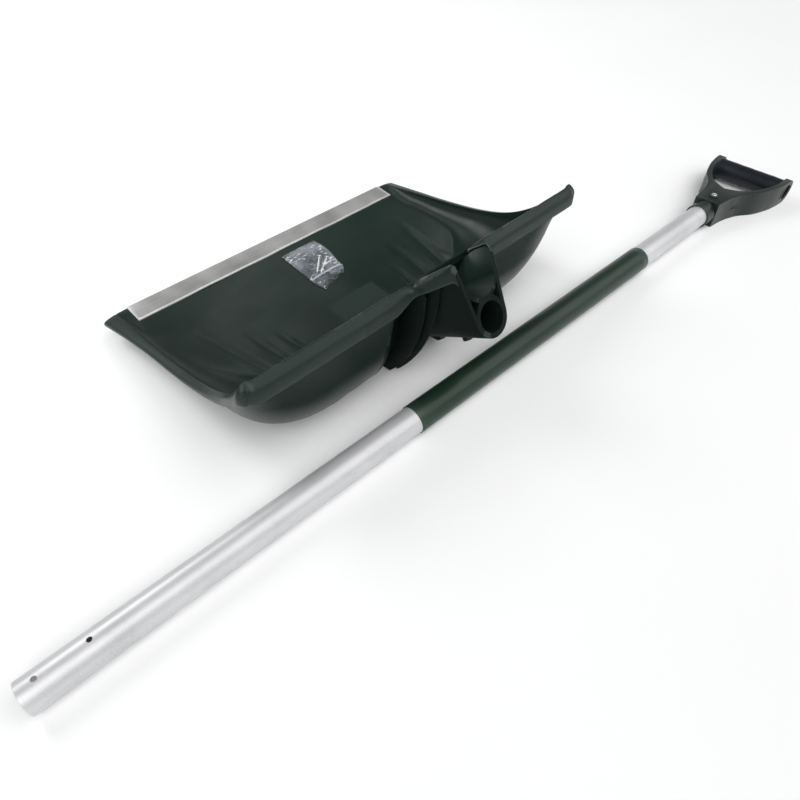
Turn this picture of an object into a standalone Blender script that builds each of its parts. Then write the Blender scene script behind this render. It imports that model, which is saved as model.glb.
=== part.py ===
"""Snow shovel, knocked down: the scoop rests on its belly, the handle lies parallel beside it and the
bag of fixing screws lies in the scoop. Metres, +Z up, +X along the handle towards its grip.

Scoop sizes are (across, back, up): across from the centre plane, back from the front edge, up from
the floor. Socket sizes are (across, depth, rise): depth along the bore from its rear face, rise
square to the bore. Handle sizes are measured along the tube from its open end.
"""

from math import acos, asin, atan2, cos, hypot, pi, radians, sin

import bmesh
import bpy
from mathutils import Matrix, Vector

GAP = 0.0003

# Where the pieces lie. The origin is under the middle of the whole layout.
HANDLE_END = Vector((-0.6135, -0.1668, 0.0))
SCOOP_FRONT = Vector((-0.1195, 0.2192, 0.0))
SCOOP_YAW = radians(2.1)

# Scoop pan: inner surface, wall thickness and the sections that shape it.
WALL = 0.003
FRONT_HEIGHT = 0.029
FLOOR_HEIGHT = 0.0031
FLOOR_CURVE = 1.3
HEEL_BACK = 0.251
HEEL_RADIUS = 0.075
REAR_LEAN = 0.002
RIM_HEIGHT = 0.145
SIDE_RIM_LENGTH = 0.326
SIDE_RIM_FRONT = 0.028
SIDE_RIM_RISE = 0.0455
EAR_RISE = 0.0715
EAR_POWER = 6
RIM_HALF = ((0.0, 0.237), (0.100, 0.2395), (0.250, 0.2405), (0.326, 0.246))
HEEL_SHARE = 0.54
REAR_SHARE = 0.81
SIDE_RIM_STATIONS = ((0.0, 0.0), (HEEL_SHARE, 0.240), (REAR_SHARE, 0.305), (1.0, SIDE_RIM_LENGTH))
CORNER_RADII = (
    (0.0, 0.020),
    (0.08, 0.020),
    (0.20, 0.018),
    (0.35, 0.030),
    (HEEL_SHARE, 0.095),
    (REAR_SHARE, 0.095),
    (1.0, 0.026),
)
FLOOR_LIFT = ((0.0, 0.0), (0.08, 0.0), (0.20, 0.34), (0.35, 0.42), (HEEL_SHARE, 0.12), (0.70, 0.0), (1.0, 0.0))

# The rear wall is pressed in between the two bellies, to make room for the handle socket.
PRESS_DEPTH = 0.014
PRESS_HALF_RIM = 0.057
PRESS_HALF_HEEL = 0.091
PRESS_EDGE = 0.008

# Turned-over flange round the rim.
OUTER_HALF = ((0.0, 0.255), (0.060, 0.2515), (0.120, 0.2495), (0.240, 0.2495), (0.300, 0.252), (0.326, 0.256))
REAR_FLANGE = 0.012
FLANGE_DROPS = ((0.0, 0.008), (0.080, 0.005), (0.200, 0.006), (0.290, 0.012), (SIDE_RIM_LENGTH, 0.020))
FLANGE_CROWN = 0.0005
FLANGE_REACH = (0.0, 0.72, 1.0)

# Grid of the pan: centre, step, outer floor, corner and flange; rows run from the front edge to the rim.
CENTRE_COLUMNS = 3
STEP_COLUMNS = 4
FLOOR_COLUMNS = 12
CORNER_COLUMNS = 6
FLANGE_COLUMNS = 2
PAN_ROWS = 26

# Handle socket.
SOCKET_MOUTH = (0.405, 0.122)
SOCKET_SLOPE = radians(30)
BORE_RADIUS = 0.01665
BORE_DEPTH = 0.108
BORE_TUBE_RADIUS = 0.0199
HULL_RADIUS = 0.0225
HULL_LENGTH = 0.150
VOID_DEPTH = 0.085
OVERRUN = 0.006
SHOULDER_HALF = 0.028
SHOULDER_RISE = 0.0688
SHOULDER_LENGTH = 0.058
SHOULDER_FLARE = 0.017
SHOULDER_FALL = 0.0123
BAND_LENGTH = 0.053
TROUGH_RADIUS = 0.022
TROUGH_RISE = 0.0445
SIDE_VOID = (
    (0.0106, 0.0206),
    (0.0134, 0.0172),
    (0.0168, 0.0134),
    (0.0190, 0.0098),
    (0.0200, 0.0150),
    (0.0208, 0.0230),
    (0.0210, 0.0296),
    (0.0192, 0.0274),
    (0.0170, 0.0250),
    (0.0142, 0.0226),
)
BAND_WIDTHS = (0.003, 0.012)
BAND_DROPS = (0.017, 0.013)
BOSS_DEPTHS = (0.047, 0.091)
BOSS_RADIUS = 0.0055
BOSS_REACH = 0.0275
SCREW_HOLE_RADIUS = 0.0024

# Reinforcing fins: distance from the centre plane, then the top, middle and bottom of the curved rear
# edge and the hidden front edge inside the flange and the hull wall, all as (back, up).
FIN_THICKNESS = 0.0025
FINS = (
    (
        0.044,
        ((0.353, 0.143), (0.352, 0.060), (0.300, 0.004)),
        ((0.300, 0.105), (0.3163, 0.1256), (0.333, 0.1455), (0.3455, 0.155)),
    ),
    (
        0.036,
        ((0.364, 0.157), (0.362, 0.070), (0.306, 0.005)),
        ((0.300, 0.100), (0.322, 0.1157), (0.342, 0.1495), (0.3565, 0.169)),
    ),
)
FIN_FOOT = ((0.258, 0.0012), (0.225, 0.012), (0.225, 0.060))

# Wear strip over the front edge.
STRIP_LENGTH = 0.443
STRIP_TOP_WIDTH = 0.031
STRIP_UNDER_WIDTH = 0.0155
STRIP_METAL = 0.0012

# Handle.
TUBE_RADIUS = 0.016
TUBE_WALL = 0.0014
TUBE_LENGTH = 1.088
TUBE_HOLES = (0.015, 0.059)
TUBE_HOLE_RADIUS = 0.0025
SLEEVE_START = 0.417
SLEEVE_END = 0.863
SLEEVE_RADIUS = 0.0171

# D-grip.
GRIP_HALF_HEIGHT = 0.019
COLLAR_START = 1.030
COLLAR_RADIUS = 0.0185
YOKE_START = 1.060
BAR_PLACE = 1.208
BAR_RADIUS = 0.016
BAR_BORE = 0.0125
BAR_HALF = 0.0622
GRIP_HALF = 0.0625
GRIP_SCREW_PLACE = 1.071
GRIP_SCREW_RADIUS = 0.002
GRIP_SCREW_HEAD = 0.0042
GRIP_BOSS_RADIUS = 0.0062
GRIP_BOSS_TOP = 0.0205
POCKET_PLACE = 1.101

# Bag of fixing screws on the pan's floor.
BAG_MIDDLE = (0.022, 0.084)
BAG_HALF_WIDTH = 0.030
BAG_HALF_LENGTH = 0.042
BAG_FILM = 0.0003
BAG_LIFT = 0.0007
BAG_HEIGHT = 0.0104
BAG_MOUTH_HEIGHT = 0.0064
BAG_SEAM_HEIGHT = 0.0010
SCREW_LENGTH = 0.034
SCREW_RADIUS = 0.0022
SCREW_HEAD_RADIUS = 0.0038
SCREW_HEAD_HEIGHT = 0.0026
FIXING_SCREWS = (((0.0300, 0.0800), radians(-135)), ((0.0365, 0.0880), radians(-144)))

SCOOP_GREEN = (0.012, 0.024, 0.019, 1.0)
SLEEVE_GREEN = (0.016, 0.036, 0.024, 1.0)
GRIP_GREEN = (0.014, 0.024, 0.020, 1.0)
BAR_BLACK = (0.012, 0.015, 0.020, 1.0)
ANODISED = (0.62, 0.62, 0.64, 1.0)
MILL_ALUMINIUM = (0.48, 0.48, 0.47, 1.0)
ZINC = (0.60, 0.60, 0.58, 1.0)
CLEAR_FILM = (0.75, 0.78, 0.78, 1.0)

# Turns a plate drawn as (back, up) upright in the scoop, its thickness across.
UPRIGHT = Matrix(((0, 0, -1), (-1, 0, 0), (0, 1, 0))).to_4x4()


# ---------------------------------------------------------------- general helpers


def clear_scene():
    for item in list(bpy.data.objects):
        bpy.data.objects.remove(item, do_unlink=True)


def new_collection(name):
    collection = bpy.data.collections.new(name)
    bpy.context.scene.collection.children.link(collection)
    return collection


def material(name, color, roughness, metallic=0.0):
    made = bpy.data.materials.new(name)
    made.use_nodes = True
    shader = made.node_tree.nodes["Principled BSDF"]
    shader.inputs["Base Color"].default_value = color
    shader.inputs["Roughness"].default_value = roughness
    shader.inputs["Metallic"].default_value = metallic
    return made


def add_object(name, data, collection, parent=None, finish=None):
    made = bpy.data.objects.new(name, data)
    collection.objects.link(made)
    made.parent = parent
    if finish:
        made.data.materials.append(finish)
    return made


def as_tool(made):
    made.hide_render = True
    made.display_type = "WIRE"
    return made


def mesh_from(bm, name, smooth_angle=35):
    mesh = bpy.data.meshes.new(name)
    bm.to_mesh(mesh)
    bm.free()
    mesh.shade_smooth()
    mesh.set_sharp_from_angle(angle=radians(smooth_angle))
    return mesh


def boolean(target, other, operation):
    step = target.modifiers.new(operation.lower(), "BOOLEAN")
    step.object = other
    step.operation = operation
    step.solver = "EXACT"
    return step


def boolean_all(target, others, operation, tools):
    """One Boolean with several tools at once, so that no rounding builds up between them."""
    group = bpy.data.collections.new(target.name + "_" + operation.lower())
    tools.children.link(group)
    for other in others:
        tools.objects.unlink(other)
        group.objects.link(other)
    step = target.modifiers.new(operation.lower(), "BOOLEAN")
    step.operand_type = "COLLECTION"
    step.collection = group
    step.operation = operation
    step.solver = "EXACT"
    return step


def solidify(target, thickness, offset):
    step = target.modifiers.new("wall", "SOLIDIFY")
    step.thickness = thickness
    step.offset = offset
    step.use_even_offset = True
    return step


def interpolate(stations, at):
    """Straight-line value between (place, value) stations."""
    for (low, low_value), (high, high_value) in zip(stations, stations[1:]):
        if at <= high:
            return low_value + (high_value - low_value) * (at - low) / (high - low)
    return stations[-1][1]


def smooth_step(low, high, at):
    share = min(max((at - low) / (high - low), 0.0), 1.0)
    return share * share * (3 - 2 * share)


def mapped_grid(name, columns, rows, place, flip=False):
    """A sheet of columns x rows faces whose corner (i, j) lies at place(i, j)."""
    bm = bmesh.new()
    bmesh.ops.create_grid(bm, x_segments=columns, y_segments=rows, size=1.0)
    for vert in bm.verts:
        i = round((vert.co.x + 1) / 2 * columns)
        j = round((vert.co.y + 1) / 2 * rows)
        vert.co = place(i, j)
    if flip:
        bmesh.ops.reverse_faces(bm, faces=bm.faces)
    return mesh_from(bm, name)


def cylinder_mesh(name, radius, length, segments=32):
    """A cylinder on +Z, standing on the origin."""
    bm = bmesh.new()
    lift = Matrix.Translation((0, 0, length / 2))
    bmesh.ops.create_cone(
        bm, cap_ends=True, segments=segments, radius1=radius, radius2=radius, depth=length, matrix=lift
    )
    return mesh_from(bm, name)


def box_mesh(name, size):
    bm = bmesh.new()
    bmesh.ops.create_cube(bm, size=1.0, matrix=Matrix.Diagonal((*size, 1.0)))
    return mesh_from(bm, name)


def turned(name, profile, collection, parent, finish, steps=32):
    """A closed (radius, height) profile, outer side first and downwards, turned about Z."""
    bm = bmesh.new()
    verts = [bm.verts.new((radius, 0, height)) for radius, height in profile]
    for first, second in zip(verts, verts[1:] + verts[:1]):
        bm.edges.new((first, second))
    made = add_object(name, mesh_from(bm, name), collection, parent, finish)
    step = made.modifiers.new("turn", "SCREW")
    step.axis = "Z"
    step.steps = steps
    step.render_steps = steps
    step.use_merge_vertices = True
    step.merge_threshold = 0.00001
    return made


def plate(name, outline, half_thickness, collection, parent):
    """A closed outline in XY, filled and thickened equally up and down, as a mesh object."""
    curve = bpy.data.curves.new(name, "CURVE")
    curve.dimensions = "2D"
    curve.fill_mode = "BOTH"
    curve.extrude = half_thickness
    spline = curve.splines.new("POLY")
    spline.points.add(len(outline) - 1)
    for point, (x, y) in zip(spline.points, outline):
        point.co = (x, y, 0, 1)
    spline.use_cyclic_u = True
    drawn = add_object(name + "_outline", curve, collection)
    evaluated = drawn.evaluated_get(bpy.context.evaluated_depsgraph_get())
    mesh = bpy.data.meshes.new_from_object(evaluated)
    bm = bmesh.new()
    bm.from_mesh(mesh)
    bmesh.ops.remove_doubles(bm, verts=bm.verts, dist=0.000001)
    bmesh.ops.recalc_face_normals(bm, faces=bm.faces)
    bpy.data.objects.remove(drawn, do_unlink=True)
    return add_object(name, mesh_from(bm, name), collection, parent)


def bezier(first, control, last, steps):
    """Points of a quadratic curve from first to last."""
    points = []
    for step in range(steps + 1):
        share = step / steps
        weights = ((1 - share) ** 2, 2 * share * (1 - share), share * share)
        corners = zip(first, control, last)
        points.append(tuple(sum(w * c for w, c in zip(weights, axis)) for axis in corners))
    return points


def smooth_line(points, steps):
    """A curve through all the points, with even steps between each two."""
    path = []
    padded = [points[0], *points, points[-1]]
    for before, start, end, after in zip(padded, padded[1:], padded[2:], padded[3:]):
        for step in range(steps):
            t = step / steps
            point = []
            for a, b, c, d in zip(before, start, end, after):
                square = 2 * a - 5 * b + 4 * c - d
                cube = 3 * b - a - 3 * c + d
                point.append(0.5 * (2 * b + (c - a) * t + square * t**2 + cube * t**3))
            path.append(tuple(point))
    path.append(points[-1])
    return path


# ---------------------------------------------------------------- scoop


def scoop_point(across, back, up):
    return Vector((across, -back, up))


def to_socket(back, up):
    """Depth and rise of a point of the scoop, in the socket's own directions."""
    away = SOCKET_MOUTH[0] - back
    above = up - SOCKET_MOUTH[1]
    depth = away * cos(SOCKET_SLOPE) - above * sin(SOCKET_SLOPE)
    rise = away * sin(SOCKET_SLOPE) + above * cos(SOCKET_SLOPE)
    return depth, rise


def socket_point(across, depth, rise):
    back = SOCKET_MOUTH[0] - depth * cos(SOCKET_SLOPE) - rise * sin(SOCKET_SLOPE)
    up = SOCKET_MOUTH[1] - depth * sin(SOCKET_SLOPE) + rise * cos(SOCKET_SLOPE)
    return scoop_point(across, back, up)


def floor_height(back):
    share = min(back / HEEL_BACK, 1.0)
    return FLOOR_HEIGHT + (FRONT_HEIGHT - FLOOR_HEIGHT) * (1 - share) ** FLOOR_CURVE


def centre_section(share):
    """Pan section away from the sides: floor, round heel, upright rear wall."""
    heel_top = FLOOR_HEIGHT + HEEL_RADIUS
    if share <= HEEL_SHARE:
        back = HEEL_BACK * share / HEEL_SHARE
        return back, floor_height(back)
    if share <= REAR_SHARE:
        angle = pi / 2 * (share - HEEL_SHARE) / (REAR_SHARE - HEEL_SHARE)
        return HEEL_BACK + HEEL_RADIUS * sin(angle), heel_top - HEEL_RADIUS * cos(angle)
    climb = (share - REAR_SHARE) / (1 - REAR_SHARE)
    back = HEEL_BACK + HEEL_RADIUS + REAR_LEAN * climb
    return back, heel_top + (RIM_HEIGHT - heel_top) * climb


def side_rim(share):
    """Rim of a side wall: half width, back and height; it sweeps up to the rear corner."""
    back = interpolate(SIDE_RIM_STATIONS, share)
    along = back / SIDE_RIM_LENGTH
    up = SIDE_RIM_FRONT + SIDE_RIM_RISE * along + EAR_RISE * along**EAR_POWER
    return interpolate(RIM_HALF, back), back, up


def column_across(side, edge, step_middle):
    """Distance of a column from the centre plane; columns crowd together where the rear wall steps."""
    step_start = CENTRE_COLUMNS
    step_end = CENTRE_COLUMNS + STEP_COLUMNS
    stations = (
        (0, 0.0),
        (step_start, step_middle - PRESS_EDGE),
        (step_end, step_middle + PRESS_EDGE),
        (FLOOR_COLUMNS, edge),
    )
    return interpolate(stations, side)


def press_in(share, across):
    """How far the wall is pressed in, and the direction towards the inside as (back, up)."""
    if share <= HEEL_SHARE:
        return 0.0, (0.0, 1.0)
    angle = min((share - HEEL_SHARE) / (REAR_SHARE - HEEL_SHARE), 1.0) * pi / 2
    fade = smooth_step(HEEL_SHARE, HEEL_SHARE + 0.18, share) * (1 - smooth_step(0.93, 1.0, share))
    middle = press_middle(share)
    inside = 1 - smooth_step(middle - PRESS_EDGE, middle + PRESS_EDGE, across)
    return PRESS_DEPTH * fade * inside, (-sin(angle), cos(angle))


def press_middle(share):
    climb = min(max((share - HEEL_SHARE) / (1 - HEEL_SHARE), 0.0), 1.0)
    return PRESS_HALF_HEEL + (PRESS_HALF_RIM - PRESS_HALF_HEEL) * climb


def pan_surface(column, row):
    """Inner surface of the pan at a signed column and a row, without the flange."""
    share = row / PAN_ROWS
    back, up = centre_section(share)
    half, rim_back, rim_up = side_rim(share)
    radius = interpolate(CORNER_RADII, share)
    side = abs(column)
    floor_lift = interpolate(FLOOR_LIFT, share)
    if side <= FLOOR_COLUMNS:
        across = column_across(side, half - radius, press_middle(share))
        lift = floor_lift * (across / (half - radius)) ** 4
        depth, inward = press_in(share, across)
    else:
        angle = pi / 2 * (side - FLOOR_COLUMNS) / CORNER_COLUMNS
        across = half - radius + radius * sin(angle)
        lift = floor_lift + (1 - floor_lift) * (1 - cos(angle))
        depth, inward = 0.0, (0.0, 0.0)
    back = back + (rim_back - back) * lift + depth * inward[0]
    up = up + (rim_up - up) * lift + depth * inward[1]
    return (across if column > 0 else -across), back, up


def pan_place(i, j):
    """Corner (i, j) of the pan's grid. The flange runs on round the rear corners without a mitre."""
    rim_column = FLOOR_COLUMNS + CORNER_COLUMNS
    column = i - rim_column - FLANGE_COLUMNS
    side_steps = max(abs(column) - rim_column, 0)
    rear_steps = max(j - PAN_ROWS, 0)
    inner_column = max(min(column, rim_column), -rim_column)
    across, back, up = pan_surface(inner_column, min(j, PAN_ROWS))
    steps = max(side_steps, rear_steps)
    if steps == 0:
        return scoop_point(across, back, up)
    reach = FLANGE_REACH[steps]
    round_corner = max(abs(inner_column) - FLOOR_COLUMNS, 0) / CORNER_COLUMNS * pi / 2
    sign = 1 if column > 0 else -1
    drop = interpolate(FLANGE_DROPS, back)
    half, rim_back, rim_up = side_rim(min(j, PAN_ROWS) / PAN_ROWS)
    across += sign * reach * (interpolate(OUTER_HALF, rim_back) - half) * sin(round_corner)
    back += reach * REAR_FLANGE * cos(round_corner)
    up += FLANGE_CROWN if steps < FLANGE_COLUMNS else -drop
    return scoop_point(across, back, up)


def make_pan(name, collection, parent, finish):
    columns = 2 * (FLOOR_COLUMNS + CORNER_COLUMNS + FLANGE_COLUMNS)
    mesh = mapped_grid(name, columns, PAN_ROWS + FLANGE_COLUMNS, pan_place, flip=True)
    bm = bmesh.new()
    bm.from_mesh(mesh)
    bmesh.ops.remove_doubles(bm, verts=bm.verts, dist=0.00001)
    bm.to_mesh(mesh)
    bm.free()
    made = add_object(name, mesh, collection, parent, finish)
    solidify(made, WALL, -1)
    return made


def make_pan_inside(tools, parent):
    """The space in the pan round the socket, reaching down to the middle of the pan's wall."""
    half_columns = FLOOR_COLUMNS - 3

    def place(i, j):
        across, back, up = pan_surface(i - half_columns, j)
        depth, rise = to_socket(back, up)
        return socket_point(across, depth, rise - WALL * 0.85)

    mesh = mapped_grid("pan_inside", 2 * half_columns, PAN_ROWS, place)
    made = as_tool(add_object("pan_inside", mesh, tools, parent))
    bm = bmesh.new()
    bm.from_mesh(mesh)
    lifted = bmesh.ops.extrude_face_region(bm, geom=bm.faces[:])
    raised = [item for item in lifted["geom"] if isinstance(item, bmesh.types.BMVert)]
    away = socket_point(0, 0, 0.2) - socket_point(0, 0, 0)
    bmesh.ops.translate(bm, verts=raised, vec=away)
    bmesh.ops.recalc_face_normals(bm, faces=bm.faces)
    bm.to_mesh(mesh)
    bm.free()
    return made


def shoulder(depth):
    """Half width and rise of the socket's top edge at a depth."""
    along = depth / SHOULDER_LENGTH
    return SHOULDER_HALF + SHOULDER_FLARE * along, SHOULDER_RISE - SHOULDER_FALL * along


def arc_section(radius, rise, edge, arc_steps):
    """Open section: from the left edge round the bottom of a circle and up to the right edge."""
    half, top = edge
    above = top - rise
    tangent = atan2(above, half) - acos(min(radius / hypot(half, above), 1.0))
    points = [(-half, top)]
    for step in range(arc_steps + 1):
        angle = pi - tangent + (pi + 2 * tangent) * step / arc_steps
        points.append((radius * cos(angle), rise + radius * sin(angle)))
    return points + [(half, top)]


def lofted_shell(name, section, start, end, rows, thickness, offset, tools, parent):
    """A wall along the bore whose open section is section(depth)."""
    columns = len(section(0.0)) - 1

    def place(i, j):
        depth = start + (end - start) * j / rows
        across, rise = section(depth)[i]
        return socket_point(across, depth, rise)

    mesh = mapped_grid(name, columns, rows, place)
    made = as_tool(add_object(name, mesh, tools, parent))
    solidify(made, thickness, offset)
    return made


def lofted_solid(name, section, start, end, rows, tools, parent):
    """A solid along the bore whose closed section is section(depth)."""
    columns = len(section(0.0))

    def place(i, j):
        depth = start + (end - start) * j / rows
        across, rise = section(depth)[i % columns]
        return socket_point(across, depth, rise)

    mesh = mapped_grid(name, columns, rows, place)
    bm = bmesh.new()
    bm.from_mesh(mesh)
    bmesh.ops.remove_doubles(bm, verts=bm.verts, dist=0.000001)
    bmesh.ops.holes_fill(bm, edges=[edge for edge in bm.edges if edge.is_boundary], sides=0)
    bmesh.ops.recalc_face_normals(bm, faces=bm.faces)
    bm.to_mesh(mesh)
    bm.free()
    return as_tool(add_object(name, mesh, tools, parent))


def hull_section(depth):
    """Closed section: round the outside of the hull, then back round the inside of the trough."""
    half, top = shoulder(depth)
    outside = arc_section(HULL_RADIUS, 0.0, (half, top), 15)
    inside = arc_section(TROUGH_RADIUS, TROUGH_RISE, (half - WALL * 1.2, top), 13)
    return outside + inside[::-1]


def void_section(side):
    """Section of the small hollow between the bore, the trough and one hull wall."""

    def section(depth):
        spread = 0.2 * SHOULDER_FLARE * depth / SHOULDER_LENGTH
        return [(side * (across + spread * rise / 0.03), rise) for across, rise in SIDE_VOID]

    return section


def band_section(side):
    """Section of the flange that runs back along one of the socket's shoulders."""

    def section(depth):
        half, top = shoulder(depth)
        along = depth / SHOULDER_LENGTH
        width = BAND_WIDTHS[0] + (BAND_WIDTHS[1] - BAND_WIDTHS[0]) * along
        drop = BAND_DROPS[0] + (BAND_DROPS[1] - BAND_DROPS[0]) * along
        proud = top + FLANGE_CROWN
        points = [(half - 0.002, proud), (half + width * 0.5, proud), (half + width, top - drop)]
        return [(side * across, rise) for across, rise in points]

    return section


def bore_cylinder(name, radius, start, end, tools, parent, segments=32):
    """A cylinder on the bore's axis between two depths."""
    mesh = cylinder_mesh(name, radius, end - start, segments)
    made = as_tool(add_object(name, mesh, tools, parent))
    made.location = socket_point(0, start, 0)
    along = socket_point(0, 1, 0) - socket_point(0, 0, 0)
    made.rotation_euler = along.to_track_quat("Z", "Y").to_euler()
    return made


def boss_cylinder(name, radius, depth, top, bottom, tools, parent):
    """A cylinder square to the bore, between two rises, on the socket's underside."""
    mesh = cylinder_mesh(name, radius, top - bottom, 16)
    made = as_tool(add_object(name, mesh, tools, parent))
    made.location = socket_point(0, depth, bottom)
    upward = socket_point(0, 0, 1) - socket_point(0, 0, 0)
    made.rotation_euler = upward.to_track_quat("Z", "Y").to_euler()
    return made


def make_fin(name, side, fin, tools, parent):
    """A thin upright fin whose rear edge is a smooth curve."""
    across, rear_edge, front_edge = fin
    outline = bezier(*rear_edge, 8) + list(FIN_FOOT) + list(front_edge)
    made = plate(name, outline, FIN_THICKNESS / 2, tools, parent)
    made.data.transform(Matrix.Translation((side * across, 0, 0)) @ UPRIGHT)
    return as_tool(made)


def make_socket(tools, parent):
    """The moulding outside the pan, not yet hollow: hull with its trough, shoulder flanges and fins."""
    socket = lofted_solid("socket_hull", hull_section, 0.0, HULL_LENGTH, 6, tools, parent)
    joined = []
    for side in (-1, 1):
        name = "band_left" if side < 0 else "band_right"
        joined.append(
            lofted_shell(name, band_section(side), 0.0004, BAND_LENGTH, 3, WALL, -side, tools, parent)
        )
    for index, fin in enumerate(FINS):
        for side in (-1, 1):
            joined.append(make_fin(f"fin_{2 * index + (side > 0)}", side, fin, tools, parent))
    boolean_all(socket, joined, "UNION", tools)
    boolean(socket, make_pan_inside(tools, parent), "DIFFERENCE")
    return socket


def make_scoop(parts, tools, parent, finish):
    scoop = make_pan("scoop", parts, parent, finish)
    socket = make_socket(tools, parent)
    bore_tube = bore_cylinder("bore_tube", BORE_TUBE_RADIUS, 0.05, BORE_DEPTH + WALL, tools, parent, 42)
    joined = [socket, bore_tube]
    hollows = [bore_cylinder("bore", BORE_RADIUS, -0.01, BORE_DEPTH, tools, parent, 42)]
    for side in (-1, 1):
        name = "void_left" if side < 0 else "void_right"
        hollows.append(lofted_solid(name, void_section(side), -OVERRUN, VOID_DEPTH, 4, tools, parent))
    for index, depth in enumerate(BOSS_DEPTHS):
        boss = boss_cylinder(f"boss_{index}", BOSS_RADIUS, depth, -0.019, -BOSS_REACH, tools, parent)
        hole = boss_cylinder(f"boss_hole_{index}", SCREW_HOLE_RADIUS, depth, -0.010, -0.040, tools, parent)
        joined.append(boss)
        hollows.append(hole)
    boolean_all(scoop, joined, "UNION", tools)
    boolean_all(scoop, hollows, "DIFFERENCE", tools)
    return scoop


def make_wear_strip(parts, parent, finish):
    """Folded channel: long leaf above the front edge, short leaf below it."""
    inner_low = -WALL - GAP
    outer_low = inner_low - STRIP_METAL
    front = -GAP - STRIP_METAL
    outline = [
        (front, GAP + STRIP_METAL),
        (front + STRIP_TOP_WIDTH, GAP + STRIP_METAL),
        (front + STRIP_TOP_WIDTH, GAP),
        (-GAP, GAP),
        (-GAP, inner_low),
        (front + STRIP_UNDER_WIDTH, inner_low),
        (front + STRIP_UNDER_WIDTH, outer_low),
        (front, outer_low),
    ]
    made = plate("wear_strip", outline, STRIP_LENGTH / 2, parts, parent)
    made.data.transform(UPRIGHT)
    made.data.materials.append(finish)
    slope = atan2(FRONT_HEIGHT - floor_height(STRIP_TOP_WIDTH), STRIP_TOP_WIDTH)
    made.location = scoop_point(0, 0, FRONT_HEIGHT)
    made.rotation_euler = (slope, 0, 0)
    return made


# ---------------------------------------------------------------- handle


def along_handle(made, place):
    """Lays a piece that was made along Z onto the handle's axis."""
    made.rotation_euler = (0, pi / 2, 0)
    made.location = (place, 0, 0)
    return made


def upright_hole(name, radius, place, low, high, tools, parent):
    made = as_tool(add_object(name, cylinder_mesh(name, radius, high - low, 16), tools, parent))
    made.location = (place, 0, low)
    return made


def make_tube(parts, tools, parent, finish):
    inner = TUBE_RADIUS - TUBE_WALL
    profile = [(TUBE_RADIUS, TUBE_LENGTH), (TUBE_RADIUS, 0), (inner, 0), (inner, TUBE_LENGTH)]
    tube = along_handle(turned("handle_tube", profile, parts, parent, finish), 0)
    for index, place in enumerate(TUBE_HOLES):
        name = f"tube_hole_{index}"
        boolean(tube, upright_hole(name, TUBE_HOLE_RADIUS, place, 0, 0.03, tools, parent), "DIFFERENCE")
    under_grip = upright_hole(
        "tube_hole_grip", GRIP_SCREW_RADIUS + GAP, GRIP_SCREW_PLACE, 0, 0.03, tools, parent
    )
    boolean(tube, under_grip, "DIFFERENCE")
    return tube


def make_sleeve(parts, parent, finish):
    length = SLEEVE_END - SLEEVE_START
    inner = TUBE_RADIUS + GAP
    profile = [(SLEEVE_RADIUS, length), (SLEEVE_RADIUS, 0), (inner, 0), (inner, length)]
    return along_handle(turned("tube_sleeve", profile, parts, parent, finish), SLEEVE_START)


def yoke_outline():
    """Plan of the D-grip: out along one arm, round its horn and back along the inner edge."""
    outer = smooth_line(
        [(YOKE_START - 0.008, 0.0192), (1.084, 0.0225), (1.113, 0.0315), (1.137, 0.0465), (1.166, 0.0565)]
        + [(1.190, 0.0610), (BAR_PLACE, GRIP_HALF)],
        3,
    )
    inner = smooth_line(
        [(BAR_PLACE, 0.0525), (1.188, 0.0518), (1.165, 0.0480), (1.141, 0.0390), (1.120, 0.0240), (1.107, 0.0)],
        3,
    )
    end = BAR_PLACE + GRIP_HALF_HEIGHT
    right = outer + [(end, GRIP_HALF), (end, 0.0525)] + inner
    left = [(place, -side) for place, side in reversed(right[:-1])]
    return right + left


def cross_cylinder(name, radius, half, tools, parent):
    """A cylinder across the handle, on the bar's axis."""
    made = as_tool(add_object(name, cylinder_mesh(name, radius, 2 * half, 40), tools, parent))
    made.rotation_euler = (pi / 2, 0, 0)
    made.location = (BAR_PLACE, half, 0)
    return made


def make_yoke(parts, tools, parent, finish):
    yoke = plate("grip_yoke", yoke_outline(), GRIP_HALF_HEIGHT, parts, parent)
    yoke.data.materials.append(finish)
    round_end = cross_cylinder("horn_round", GRIP_HALF_HEIGHT, 0.08, tools, parent)
    block = as_tool(add_object("arm_block", box_mesh("arm_block", (0.2, 0.16, 0.05)), tools, parent))
    block.location = (BAR_PLACE - 0.1, 0, 0)
    boolean(round_end, block, "UNION")
    boolean(yoke, round_end, "INTERSECT")
    collar_length = YOKE_START + 0.012 - COLLAR_START
    collar = as_tool(
        add_object("collar", cylinder_mesh("collar", COLLAR_RADIUS, collar_length, 40), tools, parent)
    )
    along_handle(collar, COLLAR_START)
    boolean(yoke, collar, "UNION")
    boss = upright_hole("grip_boss", GRIP_BOSS_RADIUS, GRIP_SCREW_PLACE, 0.012, GRIP_BOSS_TOP, tools, parent)
    boolean(yoke, boss, "UNION")
    tube_space = as_tool(
        add_object("tube_space", cylinder_mesh("tube_space", TUBE_RADIUS + GAP, TUBE_LENGTH, 40), tools, parent)
    )
    along_handle(tube_space, GAP)
    boolean(yoke, tube_space, "DIFFERENCE")
    boolean(yoke, cross_cylinder("bar_space", BAR_RADIUS + GAP, 0.08, tools, parent), "DIFFERENCE")
    hole = upright_hole(
        "grip_screw_hole", GRIP_SCREW_RADIUS + GAP, GRIP_SCREW_PLACE, 0, 0.03, tools, parent
    )
    boolean(yoke, hole, "DIFFERENCE")
    for side in (-1, 1):
        name = "pocket_left" if side > 0 else "pocket_right"
        pocket = as_tool(add_object(name, box_mesh(name, (0.016, 0.004, 0.006)), tools, parent))
        pocket.location = (POCKET_PLACE, side * 0.0285, 0)
        pocket.rotation_euler = (0, 0, side * radians(24))
        boolean(yoke, pocket, "DIFFERENCE")
    return yoke


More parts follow.
